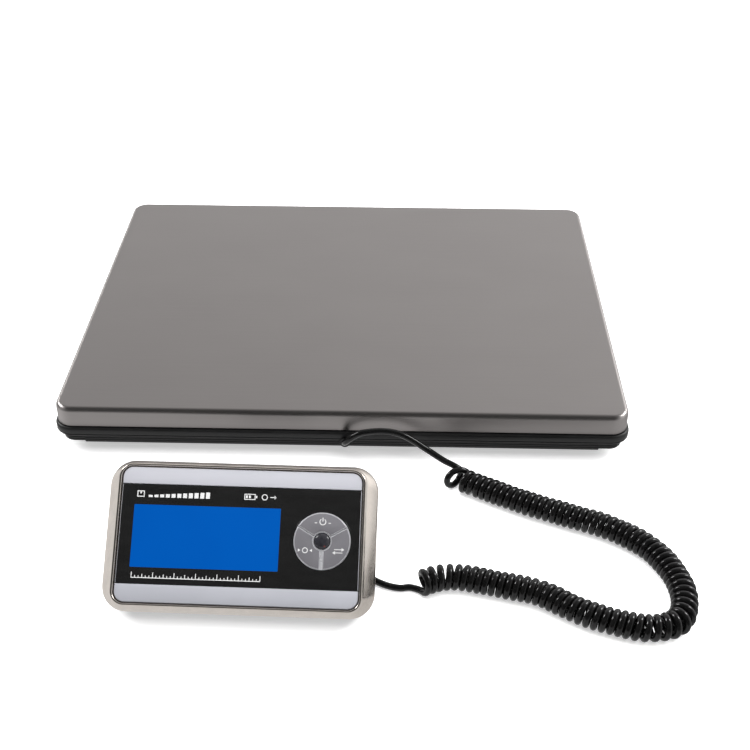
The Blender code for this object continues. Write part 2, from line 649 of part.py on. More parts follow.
def make_batteries(display, jacket, spring_steel, plastic):
    start = BAY_CENTRE[1] - BATTERY_LENGTH / 2 - 0.5
    profile = [(0.0, BATTERY_LENGTH), (1.9, BATTERY_LENGTH), (1.9, BATTERY_LENGTH - 0.8),
               (BATTERY_RADIUS - 0.5, BATTERY_LENGTH - 0.8), (BATTERY_RADIUS, BATTERY_LENGTH - 1.4),
               (BATTERY_RADIUS, 0.4), (BATTERY_RADIUS - 0.4, 0.0), (0.0, 0.0)]
    middle_h = DOOR_THICKNESS + BATTERY_RADIUS + 0.9
    offsets = [(number - 1) * CELL_PITCH for number in range(3)]
    for number, offset in enumerate(offsets, 1):
        turned_piece(f"battery_{number}", profile, jacket, display,
                     (BAY_CENTRE[0] + offset, start, middle_h), (-math.pi / 2, 0, 0), sides=14)
    ends = [("battery_springs", -1, start), ("battery_contacts", 1, start + BATTERY_LENGTH)]
    half_plate = CONTACT_PLATE[1] / 2
    for name, side, battery_end in ends:
        edge = BAY_CENTRE[1] + side * (BAY_SIZE[1] / 2 - GAP - half_plate)
        plate = piece(name, box(CONTACT_PLATE, (BAY_CENTRE[0], edge, middle_h)), spring_steel, display)
        reach = abs(edge - battery_end) - half_plate - GAP
        bump_w = edge - side * (reach + half_plate) / 2
        for offset in offsets:
            bump = bmesh.new()
            bmesh.ops.create_cone(bump, cap_ends=True, segments=12, radius1=3.2 * MM, radius2=2.2 * MM,
                                  depth=(reach + GAP) * MM)
            tool = cutter(bump, display, (BAY_CENTRE[0] + offset, bump_w, middle_h),
                          (side * math.pi / 2, 0, 0))
            boolean(plate, tool, "UNION")
    piece("battery_door", rounded_block(*DOOR_SIZE, 1.5, 0.0, DOOR_THICKNESS, bottom_round=0.5,
                                        centre=BAY_CENTRE), plastic, display)


def make_kickstand(display, plastic, steel):
    """Folding leg on a pin across the back; its origin is on the pin, and it is drawn folded flat."""
    hinge_at = (0, *HINGE)
    half = STAND_THICKNESS / 2
    outline = []
    for step in range(7):
        angle = math.pi * (0.5 + step / 6)
        outline.append((-STAND_LENGTH + half * math.cos(angle), -STAND_OFFSET + half * math.sin(angle)))
    outline += [(-1.0, -STAND_OFFSET - half), (-1.0, -STAND_OFFSET + half)]
    bm = bmesh.new()
    ends = []
    for u in (-STAND_WIDTH / 2, STAND_WIDTH / 2):
        ends.append([bm.verts.new((u * MM, w * MM, h * MM)) for w, h in outline])
    for i in range(len(outline)):
        j = (i + 1) % len(outline)
        bm.faces.new((ends[0][i], ends[0][j], ends[1][j], ends[1][i]))
    bm.faces.new(ends[0])
    bm.faces.new(reversed(ends[1]))
    leg = piece("kickstand", bm, plastic, display, hinge_at, (stand_angle(), 0, 0))
    barrel = cylinder(BARREL_RADIUS, -STAND_WIDTH / 2, STAND_WIDTH / 2, sides=16)
    boolean(leg, cutter(barrel, leg, turned=(0, math.pi / 2, 0)), "UNION")
    bore = cylinder(PIN_RADIUS + 0.1, -STAND_WIDTH / 2 - 5, STAND_WIDTH / 2 + 5, sides=12)
    boolean(leg, cutter(bore, leg, turned=(0, math.pi / 2, 0)))
    pin = cylinder(PIN_RADIUS, -PIN_LENGTH / 2, PIN_LENGTH / 2, sides=12)
    piece("kickstand_pin", pin, steel, display, hinge_at, (0, math.pi / 2, 0))


def make_display_fasteners(display, zinc, rubber):
    for number, (u, w) in enumerate(DISPLAY_SCREW_PLACES, 1):
        pan_screw(f"display_screw_{number}", zinc, display, (u, w, 4.4 - GAP), 2.4, 1.1, 15)
    profile = [(0.0, 6.2), (5.2, 6.2), (5.2, BACK_WALL + GAP), (3.8, BACK_WALL + GAP), (3.8, -GAP),
               (4.8, -GAP), (4.8, -1.4), (3.6, -2.4), (2.5, -10.5), (0.0, -10.5)]
    turned_piece("display_gland", profile, rubber, display, (*DISPLAY_GLAND, 0))


def make_cord(base, cable_black):
    """The cord outside both housings: two plain leads and the curly stretch as one thick tube."""
    centre_height = CURL_DIAMETER / 2 + 0.05
    curl = [(x, y, centre_height) for x, y in CURL_ROUTE]
    base_lead = smooth_route(BASE_LEAD_ROUTE, LEAD_POINT_SPACING)
    display_lead = smooth_route(DISPLAY_LEAD_ROUTE, LEAD_POINT_SPACING)
    tube("cord_base_lead", base_lead, WIRE, cable_black, base)
    tube("cord_curl", smooth_route(curl, CURL_POINT_SPACING), CURL_DIAMETER, cable_black, base)
    tube("cord_display_lead", display_lead, WIRE, cable_black, base)


def main():
    clear_scene()
    base = bpy.data.objects.new("base_frame", None)
    display = bpy.data.objects.new("display_frame", None)
    for empty in (base, display):
        PARTS.objects.link(empty)
    base.location = (0, BASE_Y * MM, 0)
    place(display, base, (DISPLAY_X, DISPLAY_Y, display_height()), (RECLINE, 0, DISPLAY_TURN))

    steel = material("brushed_stainless", (0.42, 0.40, 0.39), 0.32, 1.0)
    cell_steel = material("cell_steel", (0.55, 0.55, 0.56), 0.35, 1.0)
    base_black = material("base_black", (0.012, 0.012, 0.013), 0.42)
    housing_black = material("housing_black", (0.015, 0.015, 0.016), 0.5)
    rubber = material("rubber", (0.02, 0.02, 0.02), 0.8)
    nickel = material("satin_nickel", (0.58, 0.55, 0.51), 0.25, 1.0)
    window_black = material("window_black", (0.012, 0.012, 0.012), 0.12)
    silver = material("silver_strip", (0.62, 0.62, 0.68), 0.35, 0.2)
    lcd_blue = material("lcd_blue", (0.0, 0.10, 0.46), 0.2)
    white_plastic = material("white_plastic", (0.8, 0.8, 0.8), 0.5)
    key_grey = material("key_grey", (0.22, 0.22, 0.23), 0.4)
    dome_black = material("dome_black", (0.03, 0.03, 0.035), 0.15)
    board_green = material("board_green", (0.02, 0.14, 0.05), 0.4)
    zinc = material("zinc", (0.6, 0.6, 0.6), 0.35, 1.0)
    jacket = material("battery_jacket", (0.1, 0.1, 0.35), 0.3)
    wire_grey = material("wire_grey", (0.35, 0.35, 0.36), 0.5)
    cable_black = material("cable_black", (0.008, 0.008, 0.008), 0.25)

    make_platform(base, steel)
    make_support_grid(base, base_black)
    make_base_shell(base, base_black)
    make_load_cells(base, cell_steel, rubber)
    make_wiring(base, board_green, wire_grey, cable_black)
    make_base_gland(base, rubber)
    make_base_screws(base, zinc)
    make_rear_housing(display, housing_black)
    make_bezel(display, nickel)
    make_front_panel(display, window_black, silver)
    make_electronics(display, lcd_blue, white_plastic, board_green, dome_black)
    make_keys(display, key_grey, dome_black)
    make_batteries(display, jacket, zinc, housing_black)
    make_kickstand(display, housing_black, zinc)
    make_display_fasteners(display, zinc, rubber)
    make_cord(base, cable_black)


main()
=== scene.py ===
"""Looks of the platform shipping scale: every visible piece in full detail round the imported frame.

Sizes are in millimetres, in three local frames. The base's is centred under the platform, on the
ground. The display's has u across its face, w up its slope and h out of its face. The kickstand's
lies on its pin, with the leg towards -Y. Only the cord, the camera, the floor and the lights are
in metres."""

import json
import math

import bmesh
import bpy
import numpy as np
from mathutils import Matrix, Vector


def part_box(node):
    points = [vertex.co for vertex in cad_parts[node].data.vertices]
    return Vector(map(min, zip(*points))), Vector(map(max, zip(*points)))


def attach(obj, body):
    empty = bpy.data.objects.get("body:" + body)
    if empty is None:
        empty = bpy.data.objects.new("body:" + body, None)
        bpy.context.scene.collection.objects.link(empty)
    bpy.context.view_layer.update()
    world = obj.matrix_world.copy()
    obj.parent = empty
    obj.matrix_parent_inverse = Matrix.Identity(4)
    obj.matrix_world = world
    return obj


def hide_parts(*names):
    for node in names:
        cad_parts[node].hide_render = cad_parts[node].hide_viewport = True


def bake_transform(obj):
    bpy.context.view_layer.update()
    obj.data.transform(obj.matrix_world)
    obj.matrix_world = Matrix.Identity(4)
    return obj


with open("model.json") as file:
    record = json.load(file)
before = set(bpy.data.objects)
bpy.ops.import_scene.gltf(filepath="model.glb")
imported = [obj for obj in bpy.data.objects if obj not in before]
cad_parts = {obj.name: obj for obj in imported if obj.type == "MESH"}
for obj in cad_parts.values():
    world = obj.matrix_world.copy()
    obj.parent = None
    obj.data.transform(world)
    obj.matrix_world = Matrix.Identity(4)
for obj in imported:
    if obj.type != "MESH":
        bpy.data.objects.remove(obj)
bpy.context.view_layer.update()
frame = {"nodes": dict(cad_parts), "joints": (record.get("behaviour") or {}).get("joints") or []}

MM = 0.001
SHARP = math.radians(35)
SCENE = bpy.context.scene
JOINTS = {joint["name"]: joint for joint in frame["joints"]}
FINISHES = {}  # the new materials by name; the frame's own materials can have the same names

# Camera, from the middle of the platform's footprint
LENS = 57.84
AZIMUTH = math.radians(1.186)
ELEVATION = math.radians(34.761)
ROLL = math.radians(0.205)
LOOK_AT = (0.02068, -0.0512, 0.0)
CAMERA_DISTANCE = 0.89741

# Cord, in metres from the middle of the platform's footprint
WIRE = 0.0042
TURN_RADIUS = 0.0061
COIL_HEIGHT = 0.00825
PITCH = 0.00430
TURN_CLEARANCE = 1.01  # least distance between turns on the inside of a bend, in wire thicknesses
SHARPEST_BEND = 30.0  # per metre; sharper bends of the coil's axis don't open its turns any more
RING_SPACING = 0.00155
TUBE_SIDES = 12
KNOTS_PER_TURN = 12
END_PHASE = 0.80  # the coil's last turn stops just past the bottom
BASE_LEAD_ROUTE = [
    (0.0028, -0.1560, 0.0176), (0.0040, -0.1584, 0.0205), (0.0076, -0.1596, 0.0246),
    (0.0131, -0.1596, 0.0282), (0.0198, -0.1596, 0.0298), (0.0283, -0.1596, 0.0304),
    (0.0362, -0.1598, 0.0295), (0.0428, -0.1602, 0.0270), (0.0494, -0.1608, 0.0230),
    (0.0561, -0.1619, 0.0185), (0.0617, -0.1638, 0.0156), (0.0658, -0.1666, 0.0145),
    (0.0696, -0.1700, 0.0143), (0.0734, -0.1729, 0.0143), (0.0764, -0.1744, 0.0135),
]
CURL_ROUTE = [
    (0.0764, -0.1789), (0.0974, -0.1910), (0.1217, -0.2038), (0.1464, -0.2146),
    (0.1697, -0.2250), (0.1916, -0.2428), (0.2029, -0.2652), (0.2049, -0.2870),
    (0.1978, -0.3036), (0.1817, -0.3088), (0.1634, -0.3050), (0.1434, -0.2966),
    (0.1218, -0.2828), (0.0985, -0.2764), (0.0840, -0.2727), (0.0762, -0.2713),
    (0.0692, -0.2711), (0.0630, -0.2722), (0.0574, -0.2743), (0.0528, -0.2768),
]
DISPLAY_LEAD_ROUTE = [
    (-0.0073, -0.2624, 0.0044), (-0.0050, -0.2575, 0.0025), (0.0006, -0.2536, 0.0022),
    (0.0096, -0.2549, 0.0022), (0.0176, -0.2621, 0.0022), (0.0264, -0.2694, 0.0022),
    (0.0341, -0.2733, 0.0022), (0.0408, -0.2747, 0.0022), (0.0464, -0.2740, 0.0022),
]
# How far along the coil's axis its loose first turns lie: (turns, metres)
LOOSE_TURNS = [
    (0.42, 0.0003), (0.50, 0.0004), (0.75, -0.0010), (1.00, -0.0033), (1.13, -0.0022), (1.25, 0.0003),
    (1.40, 0.0049), (1.50, 0.0056), (1.75, 0.0066), (2.00, 0.0076), (2.25, 0.0087), (2.50, 0.0099),
    (2.75, 0.0110), (3.00, 0.0121),
]

# Base
SHEET = 0.9
EDGE_RADIUS = 3.4
CORNER_RADIUS = 11.5
RIM_OVERHANG = 1.8
WALL_INSET = 1.75
WALL = 2.3
FLOOR_TOP = 12.0
SEAM = 18.5  # the base's corner pieces reach this far from each corner
CORNER_STEP = 0.6  # the corner pieces lie back and stop higher by this much
CORNERS = ("front_left", "front_right", "rear_left", "rear_right")
CORNER_PLACES = [(sx * 158.0, sy * 118.0) for sy in (-1, 1) for sx in (-1, 1)]
BASE_SCREWS = [(x, y) for x in (-95, 0, 95) for y in (-60, 60)]
GLAND_SEAT = (2.7, -148.85, 13.2)
GLAND_TILT = math.radians(30)

# Display
FACE_CENTRE = 41.0
HINGE = (60.5, 2.4)  # w and h of the kickstand's pin
HOUSING_DEPTH = 15.2
BACK_WALL = 4.0
POCKET = (139.2, 78.2, 6.6)  # the opening in the bezel: width, height and corner radius
PANEL_GAP = 0.75
PANEL_TOP = 26.0
LEDGE_TOP = 23.7
LOWER_STRIP = 10.9
UPPER_STRIP = 10.5
LCD_CENTRE = (-19.1, 40.0)
LCD_SIZE = (84.2, 35.6)
KEYPAD_CENTRE = (47.35, 40.1)
KEYPAD_RADIUS = 15.9
HUB_RADIUS = 4.8
KEY_TOP = 26.5
SIGN_RADIUS = 10.9
MARK = 0.04  # thickness of a printed mark
# Each key's first and last edge, in degrees, and the gap that it leaves at each
KEYS = {
    "key_top": (30, 150, 0.3, 0.3),
    "key_left": (150, 270, 0.3, 0.9),
    "key_right": (-90, 30, 0.9, 0.3),
}
DISPLAY_SCREWS = [(sx * 66.3, FACE_CENTRE + sy * 34.6) for sx in (-1, 1) for sy in (-1, 1)]
BAY_CENTRE = (-49.0, 40.0)
DOOR_SIZE = (38.4, 58.4)
DOOR_THICKNESS = 1.8
STAND_WIDTH = 50.0
DISPLAY_GLAND = (44.0, 26.0)


# Frames

def base_frame():
    low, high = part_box("platform_tray")
    return Matrix.Translation(((low.x + high.x) / 2, (low.y + high.y) / 2, 0.0))


def display_frame():
    across = Vector(JOINTS["kickstand_fold"]["axis"]).normalized()
    outward = -Vector(JOINTS["key_top_press"]["axis"]).normalized()
    upslope = outward.cross(across)
    hinge = Vector(JOINTS["kickstand_fold"]["pos_m"])
    origin = hinge - (HINGE[0] * upslope + HINGE[1] * outward) * MM
    turn = Matrix((across, upslope, outward)).transposed().to_4x4()
    return Matrix.Translation(origin) @ turn


def kickstand_frame():
    opened = -math.radians(JOINTS["kickstand_fold"]["range_deg"][0])
    hinge = Matrix.Translation(Vector((0, *HINGE)) * MM)
    return DISPLAY @ hinge @ Matrix.Rotation(opened, 4, "X")


BASE = base_frame()
DISPLAY = display_frame()
FRAMES = {"base": BASE, "kickstand": kickstand_frame()}  # all other bodies use the display's frame
TRAY_LOW, TRAY_HIGH = (Vector(corner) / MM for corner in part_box("platform_tray"))
TRAY_WIDTH = TRAY_HIGH.x - TRAY_LOW.x
TRAY_DEPTH = TRAY_HIGH.y - TRAY_LOW.y
# The base gland's place in the base's frame: its Z axis points out of the front wall and a little upwards
GLAND = Matrix.Translation(GLAND_SEAT) @ Matrix.Rotation(math.pi / 2 - GLAND_TILT, 4, "X")
ALONG_X = Matrix.Rotation(math.pi / 2, 4, "Y")
AT_HINGE = Matrix.Translation((0, *HINGE)) @ ALONG_X
CORNER_SIDES = ((1, 1), (-1, 1), (-1, -1), (1, -1))  # anticlockwise


# Objects

def added(name, data):
    obj = bpy.data.objects.new(name, data)
    SCENE.collection.objects.link(obj)
    return obj


def meshed(name, bm):
    """A new object with bm as its mesh; bm is used up."""
    mesh = bpy.data.meshes.new(name)
    bm.to_mesh(mesh)
    bm.free()
    return added(name, mesh)


# Camera, floor and light

def facing(direction, axis):
    """Rotation that turns the given own axis to a direction and keeps the own Y axis upright."""
    return direction.to_track_quat(axis, "Y").to_matrix().to_4x4()


def make_camera():
    back = Vector((math.sin(AZIMUTH) * math.cos(ELEVATION),
                   -math.cos(AZIMUTH) * math.cos(ELEVATION), math.sin(ELEVATION)))
    data = bpy.data.cameras.new("camera")
    data.lens = LENS
    data.sensor_width = 36.0
    place = facing(back, "Z") @ Matrix.Rotation(ROLL, 4, "Z")
    place.translation = BASE @ Vector(LOOK_AT) + back * CAMERA_DISTANCE
    SCENE.camera = added("camera", data)
    SCENE.camera.matrix_world = place


def make_light(name, place, target, size, power, glints=True):
    data = bpy.data.lights.new(name, "AREA")
    data.shape = "RECTANGLE"
    data.size, data.size_y = size
    data.energy = power
    light = added(name, data)
    place = Vector(place)
    light.matrix_world = Matrix.Translation(place) @ facing(Vector(target) - place, "-Z")
    light.visible_glossy = glints


def make_room():
    """What shiny parts mirror: a grey room over a pale floor, lighter behind the scale than overhead."""
    world = bpy.data.worlds.new("room")
    world.use_nodes = True
    SCENE.world = world
    room = Nodes(world.node_tree)
    x, y, z = room.add("SeparateXYZ", {0: room.add("TexCoord", {}).outputs["Generated"]}).outputs
    walls = room.calc("ADD", room.calc("MULTIPLY", x, 0.30), room.calc("MULTIPLY", y, 0.60))
    walls = room.calc("SUBTRACT", room.calc("ADD", walls, 0.585), room.calc("MULTIPLY", z, 0.48))
    walls = room.calc("MAXIMUM", walls, 0.06)
    floor = room.calc("SUBTRACT", 0.66, room.calc("MULTIPLY", x, 0.12))
    below = room.ranged(z, 0.0, 1.0, -0.02, -0.18, interpolation_type="SMOOTHSTEP")
    floor_share = room.calc("MULTIPLY", room.calc("SUBTRACT", floor, walls), below)
    room.feed(room.tree.nodes["Background"].inputs["Color"], room.calc("ADD", walls, floor_share))


def make_stage():
    """Pale floor and large soft lights; what shines mirrors the room and the two side windows."""
    SCENE.view_settings.view_transform = "Standard"
    bm = bmesh.new()
    bmesh.ops.create_grid(bm, x_segments=1, y_segments=1, size=12.0)
    floor = meshed("floor", bm)
    paint = Finish("floor_white", (0.86,) * 3, 0.7, Emission_Strength=0.5, Emission_Color=(1.0,) * 3)
    cloud = paint.noise(paint.placed(source="object"), 0.004, detail=2)
    paint.tint(cloud, (0.85,) * 3, (0.87,) * 3)
    floor.data.materials.append(paint.material)
    floor.visible_glossy = False
    make_room()
    make_light("overhead", (0.1, 0.2, 2.6), (0.0, 0.0, 0.0), (4.6, 4.4), 265, glints=False)
    for name, x in (("left_window", -1.75), ("right_window", 1.75)):
        make_light(name, (x, 0.6, 1.35), (0.0, -0.1, 0.0), (0.5, 0.9), 20)


# Materials

class Nodes:
    """Short calls for the procedural nodes of one material or world."""

    def __init__(self, tree):
        self.tree = tree

    def feed(self, socket, value):
        if isinstance(value, bpy.types.NodeSocket):
            self.tree.links.new(value, socket)
        elif socket.type == "RGBA":
            socket.default_value = (*value[:3], 1.0)
        else:
            socket.default_value = value

    def add(self, kind, inputs, **settings):
        node = self.tree.nodes.new("ShaderNode" + kind)
        for key, value in settings.items():
            setattr(node, key, value)
        for key, value in inputs.items():
            self.feed(node.inputs[key], value)
        return node

    def noise(self, vector, scale, detail=3.0, roughness=0.5):
        return self.add("TexNoise", {"Vector": vector, "Scale": scale, "Detail": detail,
                                     "Roughness": roughness}).outputs[0]

    def ranged(self, value, low=0.0, high=1.0, start=0.3, end=0.7, **settings):
        return self.add("MapRange", {"Value": value, "From Min": start, "From Max": end,
                                     "To Min": low, "To Max": high}, **settings).outputs[0]

    def calc(self, operation, *values):
        return self.add("Math", dict(enumerate(values)), operation=operation).outputs[0]

    def mixed(self, share, first, second):
        return self.add("Mix", {0: share, 6: first, 7: second}, data_type="RGBA").outputs[2]


class Finish(Nodes):
    """A Principled material."""

    def __init__(self, name, colour, roughness, metallic=0.0, **sockets):
        self.material = FINISHES[name] = bpy.data.materials.new(name)
        self.material.use_nodes = True
        self.material.diffuse_color = (*colour, 1.0)
        super().__init__(self.material.node_tree)
        self.shader = self.tree.nodes["Principled BSDF"]
        self.set("Base Color", colour)
        self.set("Roughness", roughness)
        self.set("Metallic", metallic)
        for socket, value in sockets.items():
            self.set(socket.replace("_", " "), value)

    def set(self, socket, value):
        self.feed(self.shader.inputs[socket], value)

    def placed(self, scale=(1, 1, 1), source="local"):
        """Millimetres: the piece's own ones, its unfolded sheet's, or (object) the row frame's."""
        if source == "local":
            vector = self.add("Attribute", {}, attribute_name="local").outputs["Vector"]
        elif source == "sheet":
            vector = self.add("UVMap", {}, uv_map="sheet").outputs["UV"]
        else:
            vector = self.add("TexCoord", {}).outputs["Object"]
            scale = [length / MM for length in scale]
        return self.add("Mapping", {"Vector": vector, "Scale": scale}).outputs["Vector"]

    def tint(self, share, first, second):
        self.set("Base Color", self.mixed(share, first, second))

    def roughen(self, value, low, high, start=0.3, end=0.7):
        self.set("Roughness", self.ranged(value, low, high, start, end))

    def bump(self, height, depth):
        """Relief of the given depth in millimetres."""
        relief = self.add("Bump", {"Height": height, "Distance": depth * MM, "Strength": 1.0})
        self.set("Normal", relief.outputs[0])

    def dress(self, tone, tones, gloss, roughness, relief, depth):
        """Patterns for the colour between two tones, the roughness between two values and the relief."""
        self.tint(self.ranged(tone), *tones)
        self.roughen(gloss, *roughness)
        self.bump(relief, depth)


def moulded(name, colour, roughness, grain=0.012, grain_size=1.6, source="local"):
    """Satin moulded plastic: fine spark-eroded grain, slow gloss changes and a little dust."""
    made = Finish(name, colour, roughness, Specular_IOR_Level=0.45)
    place = made.placed(source=source)
    pits = made.noise(place, grain_size, detail=3, roughness=0.6)
    clouds = made.noise(place, 0.035, detail=4, roughness=0.6)
    dust = made.ranged(made.noise(place, 0.8, detail=5, roughness=0.75), 0.0, 0.03, 0.62, 0.8)
    lighter = [channel * 1.4 + 0.002 for channel in colour]
    tinted = made.mixed(made.ranged(clouds), colour, lighter)
    made.tint(dust, tinted, (0.45, 0.44, 0.42))
    made.roughen(clouds, roughness - 0.05, roughness + 0.07)
    made.bump(pits, grain)
    return made.material


def brushed_stainless():
    """Sheet brushed along X: hair lines in the colour, the gloss and the relief."""
    made = Finish("brushed_stainless", (0.43, 0.405, 0.395), 0.34, 1.0, Anisotropic=0.82,
                  Anisotropic_Rotation=0.25)
    made.set("Tangent", made.add("Tangent", {}, direction_type="UV_MAP", uv_map="sheet").outputs[0])

    def streaks(along, across, detail, roughness):
        return made.noise(made.placed((along, across, 1.0), "sheet"), 1.0, detail, roughness)

    hair = streaks(0.02, 5.5, 5, 0.7)
    lines = streaks(0.006, 0.9, 4, 0.65)
    clouds = streaks(0.012, 0.02, 3, 0.5)
    specks = streaks(0.5, 0.5, 6, 0.8)
    grain = made.calc("ADD", made.calc("MULTIPLY", hair, 0.6), made.calc("MULTIPLY", lines, 0.4))
    steel = made.mixed(made.ranged(grain, 0.0, 1.0, 0.35, 0.65),
                       (0.405, 0.379, 0.373), (0.455, 0.427, 0.418))
    worn = made.mixed(made.ranged(clouds, 0.0, 0.35), steel, (0.47, 0.445, 0.433))
    made.tint(made.ranged(specks, 0.0, 0.4, 0.72, 0.8), worn, (0.7, 0.68, 0.66))
    made.roughen(grain, 0.3, 0.4)
    made.bump(hair, 0.004)


def plated(name, colour, roughness, wear=0.1, source="local"):
    """Satin metal plating: soft clouds in the gloss, pinprick pits and faint handling marks."""
    made = Finish(name, colour, roughness, 1.0)
    place = made.placed(source=source)
    clouds = made.noise(place, 0.09, detail=4, roughness=0.6)
    pits = made.noise(place, 2.2, detail=4, roughness=0.7)
    rubs = made.noise(made.placed((0.15, 1.4, 0.8), source), 1.0, detail=5, roughness=0.7)
    darker = [channel * 0.86 for channel in colour]
    made.tint(made.ranged(clouds), darker, colour)
    gloss = made.calc("ADD", made.ranged(clouds, roughness - 0.04, roughness + 0.05),
                      made.ranged(rubs, 0.0, wear, 0.55, 0.8))
    made.set("Roughness", gloss)
    made.bump(pits, 0.0025)
    return made.material


def rubber():
    made = Finish("rubber", (0.022,) * 3, 0.78, Specular_IOR_Level=0.3)
    place = made.placed()
    grain = made.noise(place, 2.4, detail=4, roughness=0.7)
    clouds = made.noise(place, 0.12, detail=3)
    made.dress(clouds, ((0.018,) * 3, (0.04,) * 3), grain, (0.7, 0.88), grain, 0.02)


def cable_jacket():
    """Glossy black PVC, with the faint ripple and gloss changes of an extruded jacket."""
    made = Finish("cable_black", (0.003,) * 3, 0.13, Specular_IOR_Level=0.4)
    place = made.placed(source="object")
    ripple = made.noise(place, 0.35, detail=4, roughness=0.6)
    fine = made.noise(place, 2.5, detail=3)
    made.dress(ripple, ((0.0022,) * 3, (0.0045,) * 3), ripple, (0.09, 0.18), fine, 0.0012)


def window_gloss():
    """Black acrylic with faint wipe marks in its gloss."""
    made = Finish("window_black", (0.007,) * 3, 0.1, Specular_IOR_Level=0.4)
    smears = made.noise(made.placed((0.05, 0.22, 0.2)), 1.0, detail=5, roughness=0.65)
    fine = made.noise(made.placed(), 1.5, detail=4, roughness=0.7)
    made.dress(smears, ((0.0062,) * 3, (0.0085,) * 3), smears, (0.08, 0.2), fine, 0.0006)


def silver_paint():
    """Silver backing under clear acrylic, with painted shade: a little greyer at the foot of the panel."""
    made = Finish("silver_strip", (0.37, 0.37, 0.405), 0.4, 0.25)
    flakes = made.noise(made.placed(), 5.0, detail=2)
    clouds = made.noise(made.placed(), 0.03, detail=3)
    upslope = made.add("SeparateXYZ", {0: made.placed()}).outputs[1]
    # Painted shade: the strips' colour darkens towards the foot of the panel and lightens up its slope
    painted_shade = made.mixed(made.ranged(upslope, 0.0, 1.0, 0.0, 80.0),
                       (0.30, 0.306, 0.335), (0.40, 0.402, 0.436))
    tone = made.mixed(made.ranged(flakes, 0.0, 0.12), painted_shade, (0.55, 0.55, 0.6))
    made.tint(made.ranged(clouds, 0.0, 0.1), tone, (0.5, 0.5, 0.55))
    made.roughen(clouds, 0.36, 0.46)
    made.bump(flakes, 0.0015)


def lcd_glow():
    """A blue backlight: even, with faint slow changes and a trace of the cell grid."""
    made = Finish("lcd_blue", (0.0, 0.01, 0.05), 0.3, Specular_IOR_Level=0.02)
    place = made.placed()
    grid = made.noise(made.placed((1.2, 1.2, 1.0)), 1.0, detail=2)
    clouds = made.noise(place, 0.03, detail=2)
    dots = made.mixed(made.ranged(grid, 0.0, 0.25), (0.0, 0.080, 0.385), (0.0, 0.092, 0.43))
    made.set("Emission Color", made.mixed(made.ranged(clouds, 0.0, 0.5), dots, (0.0, 0.086, 0.405)))
    made.set("Emission Strength", 1.0)
    made.tint(clouds, (0.0, 0.008, 0.04), (0.0, 0.012, 0.055))
    made.bump(grid, 0.0006)


def dome_gloss():
    """Dark translucent dome, with the dull red of its lamp to the lower right."""
    made = Finish("dome_black", (0.018, 0.018, 0.021), 0.14)
    lamp = made.add("VectorMath", {0: made.placed(), 1: (KEYPAD_CENTRE[0] + 1.6, KEYPAD_CENTRE[1] - 3.0,
                                                        PANEL_TOP + 1.6)}, operation="DISTANCE")
    clouds = made.noise(made.placed(), 0.5, detail=3)
    body = made.mixed(made.ranged(clouds), (0.013, 0.013, 0.016), (0.022, 0.022, 0.026))
    near = made.ranged(lamp.outputs["Value"], 1.0, 0.0, 0.1, 0.7)
    made.tint(near, body, (0.13, 0.025, 0.02))
    made.roughen(clouds, 0.1, 0.2)


def painted(name, colour, roughness=0.42, metallic=0.0, source="local"):
    """Plain paint or print with fine flake and a little gloss change."""
    made = Finish(name, colour, roughness, metallic)
    flakes = made.noise(made.placed(source=source), 3.5, detail=3)
    clouds = made.noise(made.placed(source=source), 0.15, detail=3)
    darker = [channel * 0.88 for channel in colour]
    span = (roughness - 0.05, roughness + 0.08)
    made.dress(flakes, (darker, colour), clouds, span, flakes, 0.003)
    return made.material


def circuit_board(source):
    """Green solder mask over copper tracks."""
    made = Finish("board_green", (0.012, 0.13, 0.045), 0.35)
    place = made.placed((0.25, 0.25, 0.25), source)
    tracks = made.add("TexBrick", {"Vector": place, "Scale": 1.0, "Mortar Size": 0.03,
                                   "Color1": (0.0,) * 3, "Color2": (0.0,) * 3, "Mortar": (1.0,) * 3})
    green = made.mixed(made.noise(place, 1.0, detail=3), (0.01, 0.11, 0.04), (0.02, 0.16, 0.06))
    made.tint(tracks.outputs["Color"], green, (0.03, 0.24, 0.09))
    made.roughen(tracks.outputs["Fac"], 0.42, 0.28, 0.0, 1.0)
    made.bump(tracks.outputs["Fac"], -0.03)
    return made.material


def battery_jacket():
    """Plain two-tone battery sleeve."""
    made = Finish("battery_jacket", (0.05, 0.06, 0.2), 0.28, Coat_Weight=0.3)
    along = made.add("SeparateXYZ", {0: made.placed()}).outputs[1]
    band = made.ranged(along, 0.0, 1.0, 44.0, 44.4)
    flakes = made.noise(made.placed(), 2.0, detail=3)
    blue = made.mixed(made.ranged(flakes), (0.03, 0.05, 0.2), (0.045, 0.07, 0.26))
    made.tint(band, blue, (0.72, 0.6, 0.34))
    made.roughen(flakes, 0.24, 0.34)


# Shapes

def corner_arc(centre, radius, quarter, steps):
    angles = [math.pi / 2 * (quarter + step / steps) for step in range(steps + 1)]
    return [(centre[0] + radius * math.cos(a), centre[1] + radius * math.sin(a)) for a in angles]


def rounded_outline(width, depth, radius, centre=(0, 0), steps=20):
    """Anticlockwise outline with a round arc at each corner."""
    points = []
    for quarter, (side_x, side_y) in enumerate(CORNER_SIDES):
        corner = (centre[0] + side_x * (width / 2 - radius), centre[1] + side_y * (depth / 2 - radius))
        points += corner_arc(corner, radius, quarter, steps)
    return points


def level(width, depth, radius, height, centre=(0, 0), steps=20):
    """One closed section of a loft: a rounded outline at a height."""
    return [(x, y, height) for x, y in rounded_outline(width, depth, radius, centre, steps)]


def levels(width, depth, radius, spans, centre=(0, 0), steps=20):
    """Sections of a loft, one for each (inset, height)."""
    return [level(width - 2 * inset, depth - 2 * inset, max(radius - inset, 0.02), height, centre, steps)
            for inset, height in spans]


